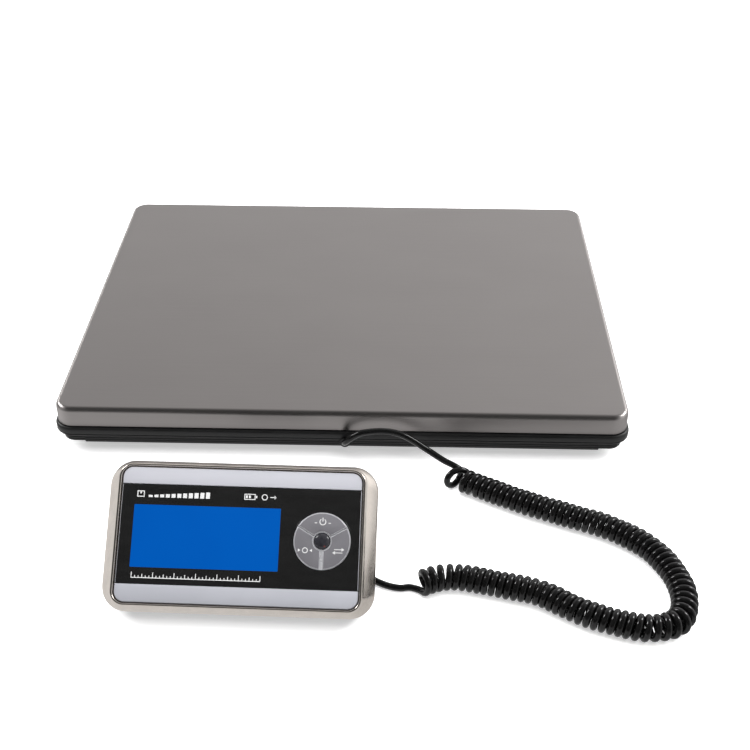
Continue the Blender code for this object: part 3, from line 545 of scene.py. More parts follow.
def loft(rings, closed=False):
    """Closed body through rings of equally many points; closed joins the last ring to the first."""
    bm = bmesh.new()
    rows = [[bm.verts.new(point) for point in ring] for ring in rings]
    pairs = list(zip(rows, rows[1:]))
    if closed:
        pairs.append((rows[-1], rows[0]))
    for low, high in pairs:
        for i in range(len(low)):
            j = (i + 1) % len(low)
            bm.faces.new((low[i], low[j], high[j], high[i]))
    if not closed:
        bm.faces.new(reversed(rows[0]))
        bm.faces.new(rows[-1])
    bmesh.ops.recalc_face_normals(bm, faces=bm.faces)
    return bm


def sweep(radius, steps, start=0.0, end=90.0):
    """(cosine, sine) pairs times radius, from the start angle to the end angle in degrees."""
    angles = [math.radians(start + (end - start) * step / steps) for step in range(steps + 1)]
    return [(radius * math.cos(angle), radius * math.sin(angle)) for angle in angles]


def block(width, depth, radius, low, high, top=0.0, bottom=0.0, centre=(0, 0), steps=12):
    """Upright block with round corners, whose upper and lower edges can be rounded over."""
    spans = []
    if bottom:
        spans += [(bottom - c, low + bottom - s) for s, c in sweep(bottom, 5)]
    else:
        spans.append((0.0, low))
    if top:
        spans += [(top - c, high - top + s) for c, s in sweep(top, 5)]
    else:
        spans.append((0.0, high))
    return loft(levels(width, depth, radius, spans, centre, steps))


def prism(outline, low, high, bevel=0.0, segments=3):
    """Upright body on an outline, with its upper edge rounded over."""
    bm = loft([[(x, y, low) for x, y in outline], [(x, y, high) for x, y in outline]])
    if bevel:
        round_over(bm, high, bevel, segments)
    return bm


def round_over(bm, height, bevel, segments):
    """Rounds the edges that lie at the given height."""
    edges = [edge for edge in bm.edges if all(abs(v.co.z - height) < 1e-6 for v in edge.verts)]
    bmesh.ops.bevel(bm, geom=edges, offset=bevel, segments=segments, profile=0.5, affect="EDGES",
                    clamp_overlap=True)


def turned(profile, sides=48, centre=(0, 0)):
    """Body of revolution about Z from a profile of (radius, height) that starts and ends on the axis."""
    bm = bmesh.new()
    rows = []
    for radius, height in profile:
        if radius < 1e-6:
            rows.append([bm.verts.new((*centre, height))])
            continue
        angles = [2 * math.pi * i / sides for i in range(sides)]
        rows.append([bm.verts.new((centre[0] + radius * math.cos(a), centre[1] + radius * math.sin(a),
                                   height)) for a in angles])
    for first, second in zip(rows, rows[1:]):
        for i in range(sides):
            j = (i + 1) % sides
            corners = [first[i % len(first)], first[j % len(first)],
                       second[j % len(second)], second[i % len(second)]]
            bm.faces.new(list(dict.fromkeys(corners)))
    bmesh.ops.recalc_face_normals(bm, faces=bm.faces)
    return bm


def cylinder(radius, low, high, centre=(0, 0), sides=48):
    return turned([(0, low), (radius, low), (radius, high), (0, high)], sides, centre)


def box(size, centre):
    bm = bmesh.new()
    bmesh.ops.create_cube(bm, size=1.0)
    bmesh.ops.scale(bm, vec=size, verts=bm.verts)
    bmesh.ops.translate(bm, vec=centre, verts=bm.verts)
    return bm


def moved(bm, matrix):
    bm.transform(matrix)
    return bm


def joined(*parts):
    """Several bodies in one mesh."""
    whole = bmesh.new()
    for part in parts:
        mesh = bpy.data.meshes.new("part")
        part.to_mesh(mesh)
        part.free()
        whole.from_mesh(mesh)
        bpy.data.meshes.remove(mesh)
    return whole


def combined(bm, tools, operation):
    """bm with each tool cut out of it (DIFFERENCE) or joined to it (UNION)."""
    body = meshed("scratch", bm)
    cutters = [meshed("scratch", tool) for tool in tools]
    for tool in cutters:
        modifier = body.modifiers.new("tool", "BOOLEAN")
        modifier.operation = operation
        modifier.object = tool
    mesh = bpy.data.meshes.new_from_object(body.evaluated_get(bpy.context.evaluated_depsgraph_get()))
    result = bmesh.new()
    result.from_mesh(mesh)
    for obj in (body, *cutters):
        spare = obj.data
        bpy.data.objects.remove(obj)
        bpy.data.meshes.remove(spare)
    bpy.data.meshes.remove(mesh)
    return result


def cut(bm, *tools):
    return combined(bm, tools, "DIFFERENCE")


def unite(bm, *tools):
    return combined(bm, tools, "UNION")


def piece(name, bm, body, slot, replaces=(), finishes=()):
    """A piece with the given finishes, or else the one named after its slot. Its mesh stays in the
    row frame and remembers its local millimetres."""
    obj = meshed(name, bm)
    mesh = obj.data
    local = np.empty(len(mesh.vertices) * 3, np.float32)
    mesh.vertices.foreach_get("co", local)
    mesh.attributes.new("local", "FLOAT_VECTOR", "POINT").data.foreach_set("vector", local)
    mesh.transform(FRAMES.get(body, DISPLAY) @ Matrix.Scale(MM, 4))
    for finish in finishes or [slot]:
        mesh.materials.append(FINISHES[finish])
    mesh.shade_smooth()
    mesh.set_sharp_from_angle(angle=SHARP)
    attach(obj, body)
    if replaces:
        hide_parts(*replaces)
    return obj


# Cord

def distances(points):
    """How far along a route each of its points lies."""
    return np.concatenate([[0.0], np.cumsum(np.linalg.norm(np.diff(points, axis=0), axis=1))])


def unit(rows):
    return rows / np.linalg.norm(rows, axis=1)[:, None]


def smooth_route(points, spacing):
    """Evenly spaced points on a centripetal Catmull-Rom curve through the given points."""
    knots = [np.array(p, float) for p in points]
    knots = [2 * knots[0] - knots[1], *knots, 2 * knots[-1] - knots[-2]]
    fine = []
    for a, b, c, d in zip(knots, knots[1:], knots[2:], knots[3:]):
        t1 = np.linalg.norm(b - a) ** 0.5
        t2 = t1 + np.linalg.norm(c - b) ** 0.5
        t3 = t2 + np.linalg.norm(d - c) ** 0.5
        for step in range(8):
            t = t1 + (t2 - t1) * step / 8
            ab = a + (b - a) * t / t1
            bc = b + (c - b) * (t - t1) / (t2 - t1)
            cd = c + (d - c) * (t - t2) / (t3 - t2)
            abc = ab + (bc - ab) * t / t2
            bcd = bc + (cd - bc) * (t - t1) / (t3 - t1)
            fine.append(abc + (bcd - abc) * (t - t1) / (t2 - t1))
    fine.append(knots[-2])
    fine = np.array(fine)
    lengths = distances(fine)
    count = max(2, round(lengths[-1] / spacing))
    goals = np.linspace(0.0, lengths[-1], count + 1)
    return np.stack([np.interp(goals, lengths, fine[:, axis]) for axis in range(3)], axis=1)


def eased(x, knots):
    """Smooth curve through (x, y) knots."""
    xs, ys = np.array(knots).T
    slopes = np.gradient(ys, xs)
    i = np.clip(np.searchsorted(xs, x) - 1, 0, len(xs) - 2)
    width = xs[i + 1] - xs[i]
    t = (x - xs[i]) / width
    return ((2 * t ** 3 - 3 * t ** 2 + 1) * ys[i] + (t ** 3 - 2 * t ** 2 + t) * width * slopes[i]
            + (3 * t ** 2 - 2 * t ** 3) * ys[i + 1] + (t ** 3 - t ** 2) * width * slopes[i + 1])


def coil_knots():
    """Points along the coil's helix: loose turns first, then turns that touch on the inside of bends."""
    axis = smooth_route([(x, y, COIL_HEIGHT) for x, y in CURL_ROUTE], 0.001)
    along = distances(axis)
    heading = unit(np.gradient(axis, along, axis=0))
    bend = np.linalg.norm(np.gradient(heading, along, axis=0), axis=1)
    bend = np.convolve(np.pad(bend, 6, mode="edge"), np.ones(13) / 13, mode="valid")
    opened = TURN_CLEARANCE * WIRE / (1 - TURN_RADIUS * np.minimum(bend, SHARPEST_BEND))
    pitch = np.maximum(PITCH, opened)
    loose_end, start = LOOSE_TURNS[-1]
    regular = along >= start
    gained = np.concatenate([[0.0], np.cumsum(np.diff(along[regular]) / pitch[regular][1:])])
    last = loose_end + gained[-1]
    wanted = math.floor(last) + END_PHASE
    turn_at = loose_end + gained * (wanted - loose_end) / (last - loose_end)
    turns = np.arange(LOOSE_TURNS[0][0], wanted + 1e-9, 1 / KNOTS_PER_TURN)
    place = np.where(turns < loose_end, eased(turns, LOOSE_TURNS),
                     np.interp(turns, turn_at, along[regular]))
    steady = np.clip(turns - 3, 0, 1)
    place = place + steady * (0.00007 * np.sin(turns * 0.86) + 0.00006 * np.sin(turns * 2.03 + 1.0))
    place = place + steady * 0.0002 * np.sin(turns * 0.53) * np.cos(2 * math.pi * turns + 0.7)
    centre = np.stack([np.interp(place, along, axis[:, i]) for i in range(3)], axis=1)
    ahead = unit(np.stack([np.interp(place, along, heading[:, i]) for i in range(3)], axis=1))
    centre += np.minimum(place, 0.0)[:, None] * heading[0]
    side = np.cross(ahead, (0.0, 0.0, 1.0))
    radius = TURN_RADIUS - 0.0001 + 0.0001 * np.sin(turns * 1.19)
    angle = 2 * math.pi * turns
    return centre + radius[:, None] * (np.cos(angle)[:, None] * side
                                       + np.sin(angle)[:, None] * np.array((0.0, 0.0, 1.0)))


def tube(points, radius, sides):
    """Tube along points in metres, whose rings turn as little as they can from one to the next."""
    heading = unit(np.gradient(points, axis=0))
    out = np.cross(heading[0], (0.0, 0.0, 1.0))
    rings = []
    for centre, ahead in zip(points, heading):
        out = out - ahead * (out @ ahead)
        out /= np.linalg.norm(out)
        across = np.cross(ahead, out)
        angles = [2 * math.pi * i / sides for i in range(sides)]
        rings.append([tuple(centre + radius * (math.cos(a) * out + math.sin(a) * across)) for a in angles])
    return loft(rings)


def make_cord():
    """The whole cord as one tube, which stretches between the base and the display."""
    origin = np.array(BASE.translation)
    gland = BASE @ Matrix.Scale(MM, 4) @ GLAND
    inside_base = np.array(gland @ Vector((0, 0, 2.5)))
    display_tip = DISPLAY @ (Vector((*DISPLAY_GLAND, -10.5)) * MM)
    inside_display = np.array(DISPLAY @ (Vector((*DISPLAY_GLAND, -8.0)) * MM))
    lead = [inside_base] + [origin + p for p in BASE_LEAD_ROUTE]
    coil = [origin + p for p in coil_knots()]
    tail = [origin + p for p in reversed(DISPLAY_LEAD_ROUTE)] + [np.array(display_tip), inside_display]
    path = smooth_route(lead + coil + tail, RING_SPACING)
    cord = meshed("cord", tube(path, WIRE / 2, TUBE_SIDES))
    cord.data.materials.append(FINISHES["cable_black"])
    cord.data.shade_smooth()

    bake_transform(cord)
    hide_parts("cord_base_lead", "cord_curl", "cord_display_lead")


def strain_relief(flange_radius, root, tip_radius, tip, rings):
    """Tapered sleeve with a flange and ring-shaped grooves, open where the cord comes out."""
    neck = flange_radius - 0.9
    profile = [(0.0, -3.0), (neck, -3.0), (neck, root), (flange_radius, root + 0.2),
               (flange_radius, root + 0.8), (flange_radius - 0.35, root + 1.1)]
    start = root + 1.3
    widest = flange_radius - 0.7
    for ring in range(rings):
        low = start + (tip - start) * ring / rings
        high = start + (tip - start) * (ring + 0.62) / rings
        radius = widest + (tip_radius - widest) * ring / rings
        profile += [(radius - 0.3, low), (radius, low + 0.15), (radius - 0.04, high - 0.15),
                    (radius - 0.34, high)]
    profile += [(tip_radius - 0.1, tip - 0.3), (tip_radius - 0.25, tip), (2.03, tip), (2.03, tip - 3.4),
                (0.0, tip - 3.4)]
    return turned(profile, 40)


# Base

def make_tray():
    shoulder = TRAY_HIGH.z - EDGE_RADIUS
    spans = [(EDGE_RADIUS - c, shoulder + s) for s, c in sweep(EDGE_RADIUS, 10)]
    hem = SHEET / 2
    spans += [(hem - c, TRAY_LOW.z + hem - s) for c, s in sweep(hem, 8, 0, 180)]
    inner = EDGE_RADIUS - SHEET
    spans += [(SHEET + inner - c, shoulder + s) for c, s in sweep(inner, 5)]
    rings = levels(TRAY_WIDTH, TRAY_DEPTH, CORNER_RADIUS, spans, steps=28)
    tray = piece("tray", loft(rings), "base", "brushed_stainless", ["platform_tray"])
    unfold(tray.data)


def unfold(mesh):
    """Flattened sheet coordinates in millimetres, so that the brushing runs on down the skirts."""
    local = [tuple(entry.vector) for entry in mesh.attributes["local"].data]
    layer = mesh.uv_layers.new(name="sheet")
    for polygon in mesh.polygons:
        on_top = abs(polygon.normal.z) > 0.95
        sideways = abs(polygon.normal.x) > abs(polygon.normal.y)
        for index in polygon.loop_indices:
            x, y, z = local[mesh.loops[index].vertex_index]
            drop = 0.0 if on_top else TRAY_HIGH.z - z
            if sideways:
                x += math.copysign(drop, x)
            else:
                y += math.copysign(drop, y)
            layer.data[index].uv = (x, y)


def wall_ring(inset, height, corner_inset, corner_height):
    """Section of the base's lower wall, whose corner pieces lie back and stop a little higher."""
    half = Vector((TRAY_WIDTH / 2 - inset, TRAY_DEPTH / 2 - inset))
    radius = CORNER_RADIUS - inset
    seam_x = TRAY_WIDTH / 2 - SEAM
    seam_y = TRAY_DEPTH / 2 - SEAM
    ring = []
    for quarter, (side_x, side_y) in enumerate(CORNER_SIDES):
        centre = (side_x * (half.x - radius), side_y * (half.y - radius))
        arc = [(x, y, corner_height) for x, y in corner_arc(centre, radius - corner_inset, quarter, 16)]
        on_x = [(side_x * half.x, side_y * seam_y, height),
                (side_x * (half.x - corner_inset), side_y * seam_y, corner_height)]
        on_y = [(side_x * (seam_x - 0.05), side_y * (half.y - corner_inset), corner_height),
                (side_x * seam_x, side_y * half.y, height)]
        ring += [*on_x, *arc, *on_y] if quarter in (0, 2) else [*reversed(on_y), *arc, *reversed(on_x)]
    return ring


def make_base_shell():
    bottom, rim_top = (corner.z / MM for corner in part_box("base_shell"))
    rings = [wall_ring(WALL_INSET + 6.6, bottom, 0.0, bottom),
             wall_ring(WALL_INSET + 6.0, bottom, 0.0, bottom + CORNER_STEP)]
    for c, s in sweep(1.4, 4):
        rings.append(wall_ring(WALL_INSET + 1.4 - s, bottom + 1.4 - c, CORNER_STEP,
                               bottom + CORNER_STEP + 1.4 - c))
    for rib in range(3):
        height = bottom + 2.6 + 1.5 * rib
        for inset, rise in ((0.0, 0.0), (0.28, 0.12), (0.28, 0.42), (0.0, 0.54)):
            rings.append(wall_ring(WALL_INSET + inset, height + rise, CORNER_STEP, height + rise))
    rings.append(wall_ring(WALL_INSET, 16.5, CORNER_STEP, 16.5))
    rim = [(-0.9, 16.6), (-1.45, 16.85), (-1.72, 17.3), (-1.6, 17.7), (-1.35, 17.85), (-1.35, 18.1),
           (-1.65, 18.25), (-RIM_OVERHANG, 19.0), (-RIM_OVERHANG, 21.2), (-1.62, 22.0), (-1.2, 22.6),
           (-0.6, rim_top - 0.05), (0.0, rim_top), (WALL_INSET + WALL, rim_top),
           (WALL_INSET + WALL, FLOOR_TOP)]
    for inset, height in rim:
        rings.append(wall_ring(inset, height, 0.0, height))
    shell = loft(rings)
    shell = unite(shell, *[cylinder(19.0, bottom + 1, 14.3, at) for at in CORNER_PLACES])
    wells = [cylinder(14.6, bottom - 5, 20, at) for at in CORNER_PLACES]
    wells += [turned([(0, bottom - 3), (4.2, bottom - 3), (4.2, bottom), (3.9, bottom + 0.3),
                      (3.9, 10.9), (2.0, 10.9), (2.0, 14), (0, 14)], 32, at) for at in BASE_SCREWS]
    wells.append(frame_groove(TRAY_WIDTH - 60, TRAY_DEPTH - 100, 14, bottom, 1.4, 0.7, (0, 0)))
    wells.append(block(86, 46, 3, bottom - 3, bottom + 0.5, centre=(0, 30)))
    wells += [block(3, 26, 1.45, bottom - 3, bottom + 1.4, centre=(-37.5 + 15 * slot, -30))
              for slot in range(6)]
    wells.append(moved(cylinder(3.4, -8, 8), GLAND))
    piece("base_pan", cut(shell, *wells), "base", "base_black", ["base_shell"])


def frame_groove(width, depth, radius, face, breadth, cut_depth, centre):
    """Cutter for a groove round a rounded rectangle in a face that looks down."""
    low, high = face - 1, face + cut_depth
    spans = ((0, low), (0, high), (breadth, high), (breadth, low))
    return loft(levels(width, depth, radius, spans, centre), closed=True)


def make_feet():
    """Round feet with a dished sole, tread rings and a waisted side."""
    profile = [(0, 14.3), (5.7, 14.3), (6.0, 14.0), (6.0, 9.2), (12.6, 9.2), (13.4, 8.9), (13.8, 8.2),
               (13.8, 7.2), (13.3, 6.8), (13.3, 6.2), (13.8, 5.8), (13.9, 4.8), (13.4, 4.4), (13.4, 3.8),
               (13.9, 3.4), (14.0, 1.6), (13.6, 0.5), (12.7, 0.0), (11.2, 0.0), (10.9, 0.5), (10.2, 0.5),
               (9.9, 0.0), (8.4, 0.0), (8.1, 0.5), (7.4, 0.5), (7.1, 0.0), (5.6, 0.0), (5.3, 0.6),
               (3.0, 0.9), (0, 0.9)]
    for name, at in zip(CORNERS, CORNER_PLACES):
        piece(f"pad_{name}", turned(profile, 56, at), "base", "rubber", [f"foot_{name}"])


def screw(head_radius, shank_radius, length, seat):
    """Pan-head screw, head down, with a cross recess in its head."""
    dome = [(head_radius * math.sin(a), seat - 0.5 - 0.8 * math.cos(a))
            for a in (math.radians(d) for d in (90, 75, 58, 40, 22))]
    profile = [(0, seat + length), (shank_radius * 0.5, seat + length - shank_radius),
               (shank_radius, seat + length - 2 * shank_radius), (shank_radius, seat),
               (head_radius * 0.96, seat), *dome, (0, seat - 1.3)]
    head = turned(profile, 28)
    arm = head_radius * 0.62
    cross = [box((2 * arm, 0.55, 1.5), (0, 0, seat - 1.25)), box((0.55, 2 * arm, 1.5), (0, 0, seat - 1.25))]
    return cut(head, *cross)


def make_hardware(unit, shape, places, turn_between, relief):
    """A unit's screws, each left at another angle, and its strain relief."""
    for number, at in enumerate(places, 1):
        turn = Matrix.Rotation(math.radians(turn_between * number), 4, "Z")
        placed = moved(shape.copy(), Matrix.Translation((*at, 0)) @ turn)
        piece(f"{unit}_fastener_{number}", placed, unit, "zinc", [f"{unit}_screw_{number}"])
    shape.free()
    piece(f"{unit}_strain_relief", relief, unit, "rubber", [f"{unit}_gland"])


def make_base_hardware():
    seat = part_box("base_screw_1")[0].z / MM + 1.3
    relief = moved(strain_relief(3.9, -0.1, 2.6, 5.6, 3), GLAND)
    make_hardware("base", screw(3.4, 1.5, 15.0, seat), BASE_SCREWS, 23, relief)


# Display

def face_level(width, height, radius, at):
    return level(width, height, radius, at, (0, FACE_CENTRE), 20)


def make_housing():
    """Rear housing with its battery bay, hinge well, stand recess, screw wells and blank label seat."""
    width, height, radius, flare = 149.0, 82.0, 11.0, 3.0
    edge = 1.95
    spans = [(edge - c, edge - s) for c, s in reversed(sweep(edge, 6))]
    rings = levels(width, height, radius, spans, (0, FACE_CENTRE))
    for share in (0.5, 0.955):
        rings.append(face_level(width + flare * share, height + flare * share, radius + flare * share / 2,
                                edge + (HOUSING_DEPTH - edge) * share))
    lip = (width + flare - 1.0, height + flare - 1.0, radius + flare / 2 - 0.5)
    rings += [face_level(*lip, 14.75), face_level(*lip, HOUSING_DEPTH)]
    inner = (width - 4.4, height - 4.4, radius - 2.2)
    rings += [face_level(*inner, HOUSING_DEPTH), face_level(*inner, BACK_WALL)]
    shell = loft(rings)
    bosses = [cylinder(3.9, 3, HOUSING_DEPTH, at, 32) for at in DISPLAY_SCREWS]
    shell = unite(shell, box((37, 57, 13.7), (*BAY_CENTRE, 8.35)),
                  box((66, 11, 5.5), (0, HINGE[0], 3.75)), *bosses)
    cuts = [block(34, 54, 1.0, -5, 13.7, centre=BAY_CENTRE, steps=4),
            block(DOOR_SIZE[0] + 0.6, DOOR_SIZE[1] + 0.6, 1.8, -5, DOOR_THICKNESS + 0.3,
                  centre=BAY_CENTRE, steps=6),
            block(STAND_WIDTH + 2, 49.0, 4.0, -5, 3.1, centre=(0, 35.6), steps=8),
            box((STAND_WIDTH + 2, 6.6, 10.0), (0, HINGE[0], 0)),
            cylinder(4.1, -5, 9, DISPLAY_GLAND, 40),
            block(33, 20, 1.6, -3, 0.35, centre=(50.2, 54.0), steps=6),
            block(12, 4, 1.9, -3, 0.8, centre=(-49.0, 72.3), steps=6)]
    cuts += [turned([(0, -2), (3.3, -2), (3.3, 0), (2.9, 0.4), (2.9, 4.4), (1.4, 4.4), (1.4, 19),
                     (0, 19)], 32, at) for at in DISPLAY_SCREWS]
    cuts += [block(1.6, 12, 0.75, -3, 2.2, centre=(36.5 + 3.4 * slot, 12.0), steps=5) for slot in range(5)]
    cuts.append(moved(cylinder(1.2, -28.5, 28.5, sides=24), AT_HINGE))
    piece("back_housing", cut(shell, *cuts), "display", "housing_black", ["rear_housing"])


def make_bezel():
    """Plated frame: a soft outer bulge, a flat slope, a rounded crest and a lip down to the panel."""
    rings = [face_level(154.6, 85.4, 13.8, HOUSING_DEPTH + 0.3), face_level(155.4, 86.2, 14.2, 15.9),
             face_level(155.85, 86.65, 14.4, 16.4), face_level(156.0, 86.8, 14.5, 17.0),
             face_level(155.8, 86.65, 14.45, 17.6)]
    outer, inner = (155.8, 86.65, 14.45), (142.6, 81.0, 9.2)
    for step in range(1, 9):
        share = step / 9
        bulge = 0.35 * math.sin(math.pi * share)
        width, height, radius = (a + (b - a) * share for a, b in zip(outer, inner))
        rings.append(face_level(width + bulge, height + bulge, radius + bulge / 2, 17.6 + 8.7 * share))
    width, height, radius = POCKET
    for inset, rise in ((1.7, 26.3), (1.55, 26.62), (1.25, 26.88), (0.85, 27.0), (0.5, 26.96),
                        (0.22, 26.8), (0.05, 26.5), (0.0, 26.1), (0.0, LEDGE_TOP)):
        rings.append(face_level(width + 2 * inset, height + 1.65 * inset, radius + inset, rise))
    rings += [face_level(131.0, 70.0, 6.0, LEDGE_TOP), face_level(131.0, 70.0, 6.0, HOUSING_DEPTH + 0.3)]
    posts = [cylinder(1.4, 12, 21, at, 20) for at in DISPLAY_SCREWS]
    piece("plated_bezel", cut(loft(rings, closed=True), *posts), "display", "satin_nickel", ["bezel"])


def strip_outline(low, high, lower):
    """Outline of one silver strip, with the panel's round corners on its outer side only."""
    width = POCKET[0] / 2 - PANEL_GAP
    radius = POCKET[2] - PANEL_GAP
    right = [(width - radius + x, high - radius + y) for x, y in sweep(radius, 14)]
    outline = [(-width, low), (width, low)] + right + [(-x, y) for x, y in reversed(right)]
    return [(x, low + high - y) for x, y in reversed(outline)] if lower else outline


def make_front():
    """Black window with its lit display and generic print, between two silver strips."""
    low = FACE_CENTRE - POCKET[1] / 2
    high = FACE_CENTRE + POCKET[1] / 2
    window_low, window_high = low + LOWER_STRIP + 0.15, high - UPPER_STRIP - 0.15
    bottom = LEDGE_TOP + 0.3
    width = POCKET[0] - 2 * PANEL_GAP
    centre = (0, (window_low + window_high) / 2)
    slab = block(width, window_high - window_low, 0.4, bottom, PANEL_TOP, top=0.55, centre=centre, steps=4)
    # Painted highlight: the rounded top edges at the window's left and right ends take the silver strips'
    # finish, as a bright line along the black acrylic
    for face in slab.faces:
        face.material_index = int(abs(face.normal.x) > 0.3 and face.calc_center_median().z > 25)
    slab = cut(slab, cylinder(KEYPAD_RADIUS + 0.5, 20, 30, KEYPAD_CENTRE, 96),
               block(*LCD_SIZE, 0.5, PANEL_TOP - 0.4, 30, centre=LCD_CENTRE, steps=4))
    piece("window", slab, "display", "window_black", ["front_window"], ["window_black", "silver_strip"])
    ring = turned_ring(KEYPAD_RADIUS + 0.95, KEYPAD_RADIUS + 1.2, PANEL_TOP - 0.1, PANEL_TOP + 0.05)
    piece("keypad_moat", ring, "display", "window_black")
    screen = block(LCD_SIZE[0] - 0.06, LCD_SIZE[1] - 0.06, 0.47, PANEL_TOP - 0.38, PANEL_TOP - 0.03,
                   centre=LCD_CENTRE, steps=4)
    piece("lit_screen", screen, "display", "lcd_blue")
    for name, start, end in (("lower", low + PANEL_GAP, window_low - 0.3),
                             ("upper", window_high + 0.3, high - PANEL_GAP)):
        outline = strip_outline(start, end, name == "lower")
        strip = prism(outline, bottom, PANEL_TOP + 0.2, 0.4, 4)
        piece(f"silver_strip_{name}", strip, "display", "silver_strip", [f"strip_{name}"])
    piece("window_print", window_print(), "display", "white_plastic", finishes=["print_white"])


def bar(x, y, width, height):
    return prism([(x, y), (x + width, y), (x + width, y + height), (x, y + height)], 0.0, MARK)


def outline_box(x, y, width, height, line):
    return [bar(x, y, width, line), bar(x, y + height - line, width, line),
            bar(x, y + line, line, height - 2 * line),
            bar(x + width - line, y + line, line, height - 2 * line)]


def arc_band(centre, radius, breadth, start, end, steps=20):
    """Flat band along a circle, between two angles in degrees."""
    edges = sweep(radius + breadth / 2, steps, start, end)
    edges += reversed(sweep(radius - breadth / 2, steps, start, end))
    return prism([(centre[0] + x, centre[1] + y) for x, y in edges], 0.0, MARK)


def printed(marks, at):
    """All marks as one body, lying on a face at the given height."""
    return moved(joined(*marks), Matrix.Translation((0, 0, at)))


def window_print():
    """Generic marks where such a window is printed: a parcel, a level bar, a battery and a ruler."""
    marks = outline_box(-60.0, 62.1, 4.2, 3.6, 0.5) + [bar(-58.3, 64.0, 0.8, 1.2)]
    marks += [bar(-53.4 + 3.3 * number, 62.1, 2.3, 1.2 + 0.24 * number) for number in range(11)]
    marks += outline_box(1.7, 62.3, 6.4, 3.4, 0.45) + [bar(8.3, 63.3, 0.8, 1.4)]
    marks += [bar(2.6 + 1.7 * number, 63.2, 1.1, 1.6) for number in range(2)]
    marks += [arc_band((13.4, 64.0), 1.5, 0.5, 0, 360, 32), bar(16.6, 63.75, 3.2, 0.5)]
    marks.append(prism([(19.0, 62.9), (20.2, 64.0), (19.0, 65.1)], 0.0, MARK))
    marks.append(bar(-60.0, 16.1, 73.4, 0.45))
    for tick in range(37):
        tall = 3.3 if tick % 6 == 0 else 2.3 if tick % 3 == 0 else 1.5
        marks.append(bar(-60.0 + 2.03 * tick, 16.55, 0.42, tall - 0.45))
    return printed(marks, PANEL_TOP)


def sector_outline(start, end, start_gap, end_gap, outer, inner):
    """Part of a ring, cut off parallel to its two edge lines."""
    points = []
    for radius, count, forward in ((outer, 40, True), (inner, 16, False)):
        first = math.radians(start) + math.asin(start_gap / radius)
        last = math.radians(end) - math.asin(end_gap / radius)
        for step in range(count + 1):
            share = step / count if forward else 1 - step / count
            angle = first + (last - first) * share
            points.append((KEYPAD_CENTRE[0] + radius * math.cos(angle),
                           KEYPAD_CENTRE[1] + radius * math.sin(angle)))
    return points


def key_icon(name):
    """Generic signs: on and off, back to zero, and change over."""
    middle = math.radians((KEYS[name][0] + KEYS[name][1]) / 2)
    x = KEYPAD_CENTRE[0] + SIGN_RADIUS * math.cos(middle)
    y = KEYPAD_CENTRE[1] + SIGN_RADIUS * math.sin(middle)
    if name == "key_top":
        marks = [arc_band((x, y), 1.7, 0.45, 125, 415), bar(x - 0.24, y + 0.2, 0.48, 2.2),
                 bar(x - 4.6, y - 0.9, 1.3, 0.45), bar(x + 3.3, y - 0.9, 1.3, 0.45)]
    elif name == "key_left":
        marks = [arc_band((x, y), 1.4, 0.45, 0, 360, 32)]
        marks += [prism([(x + s * 4.0, y + 0.9), (x + s * 4.0, y - 0.9), (x + s * 2.6, y)], 0.0, MARK)
                  for s in (-1, 1)]
    else:
        marks = []
        for s in (-1, 1):
            tip = x + s * 3.4
            marks += [bar(x - 2.4, y + s * 0.9 - 0.2, 4.8, 0.42),
                      prism([(tip, y + s * 0.9), (tip - s * 1.6, y + s * 0.9 + 1.0),
                             (tip - s * 1.6, y + s * 0.9 - 1.0)], 0.0, MARK)]
    return printed(marks, KEY_TOP)


def make_keypad():
    """Three sector keys in a thin bright frame, round a dark dome."""
    for name, (start, end, start_gap, end_gap) in KEYS.items():
        outline = sector_outline(start, end, start_gap, end_gap, KEYPAD_RADIUS, HUB_RADIUS + 0.5)
        key = prism(outline, LEDGE_TOP - 0.2, KEY_TOP, 0.32, 3)
        for face in key.faces:
            face.material_index = int(0.05 < face.normal.z < 0.97)
        piece(f"{name}_cap", key, name, "key_grey", [name], ["key_grey", "light_trim"])
        piece(f"{name}_sign", key_icon(name), name, "white_plastic", finishes=["print_white"])
    rim = turned_ring(KEYPAD_RADIUS + 0.06, KEYPAD_RADIUS + 0.32, 24.0, PANEL_TOP + 0.22)
    hub = turned_ring(HUB_RADIUS + 0.04, HUB_RADIUS + 0.42, 24.0, PANEL_TOP + 0.3)
    spokes = [rim, hub]
    for angle, half in ((30, 0.12), (150, 0.12), (270, 0.8)):
        spoke = box((KEYPAD_RADIUS - HUB_RADIUS - 0.2, 2 * half, 2.1),
                    ((KEYPAD_RADIUS + HUB_RADIUS) / 2 + 0.2, 0, PANEL_TOP - 0.95))
        if half > 0.5:
            spoke = cut(spoke, box((30, 0.25, 0.5), (10, 0, PANEL_TOP + 0.1)))
        turn = Matrix.Translation((*KEYPAD_CENTRE, 0)) @ Matrix.Rotation(math.radians(angle), 4, "Z")
        spokes.append(moved(spoke, turn))
    piece("keypad_frame", joined(*spokes), "display", "silver_strip", finishes=["light_trim"])
    dome = [(0, PANEL_TOP + 2.4)]
    dome += [(4.5 * math.sin(a), PANEL_TOP + 0.2 + 2.2 * math.cos(a))
             for a in (math.radians(d) for d in range(8, 90, 8))]
    dome += [(4.62, PANEL_TOP + 0.1), (4.78, PANEL_TOP - 0.1), (4.78, LEDGE_TOP), (2.0, LEDGE_TOP),
             (2.0, 17.7), (0, 17.7)]
    piece("dark_dome", turned(dome, 56, KEYPAD_CENTRE), "display", "dome_black", ["status_dome"])


def turned_ring(inner, outer, low, high):
    """Thin upright ring round the keypad's centre, with a rounded upper edge."""
    middle = (inner + outer) / 2
    profile = [(inner, low), (outer, low), (outer, high - 0.1), (middle, high), (inner, high - 0.1)]
    return loft([level(2 * radius, 2 * radius, radius, height, KEYPAD_CENTRE, 24)
                 for radius, height in profile], closed=True)


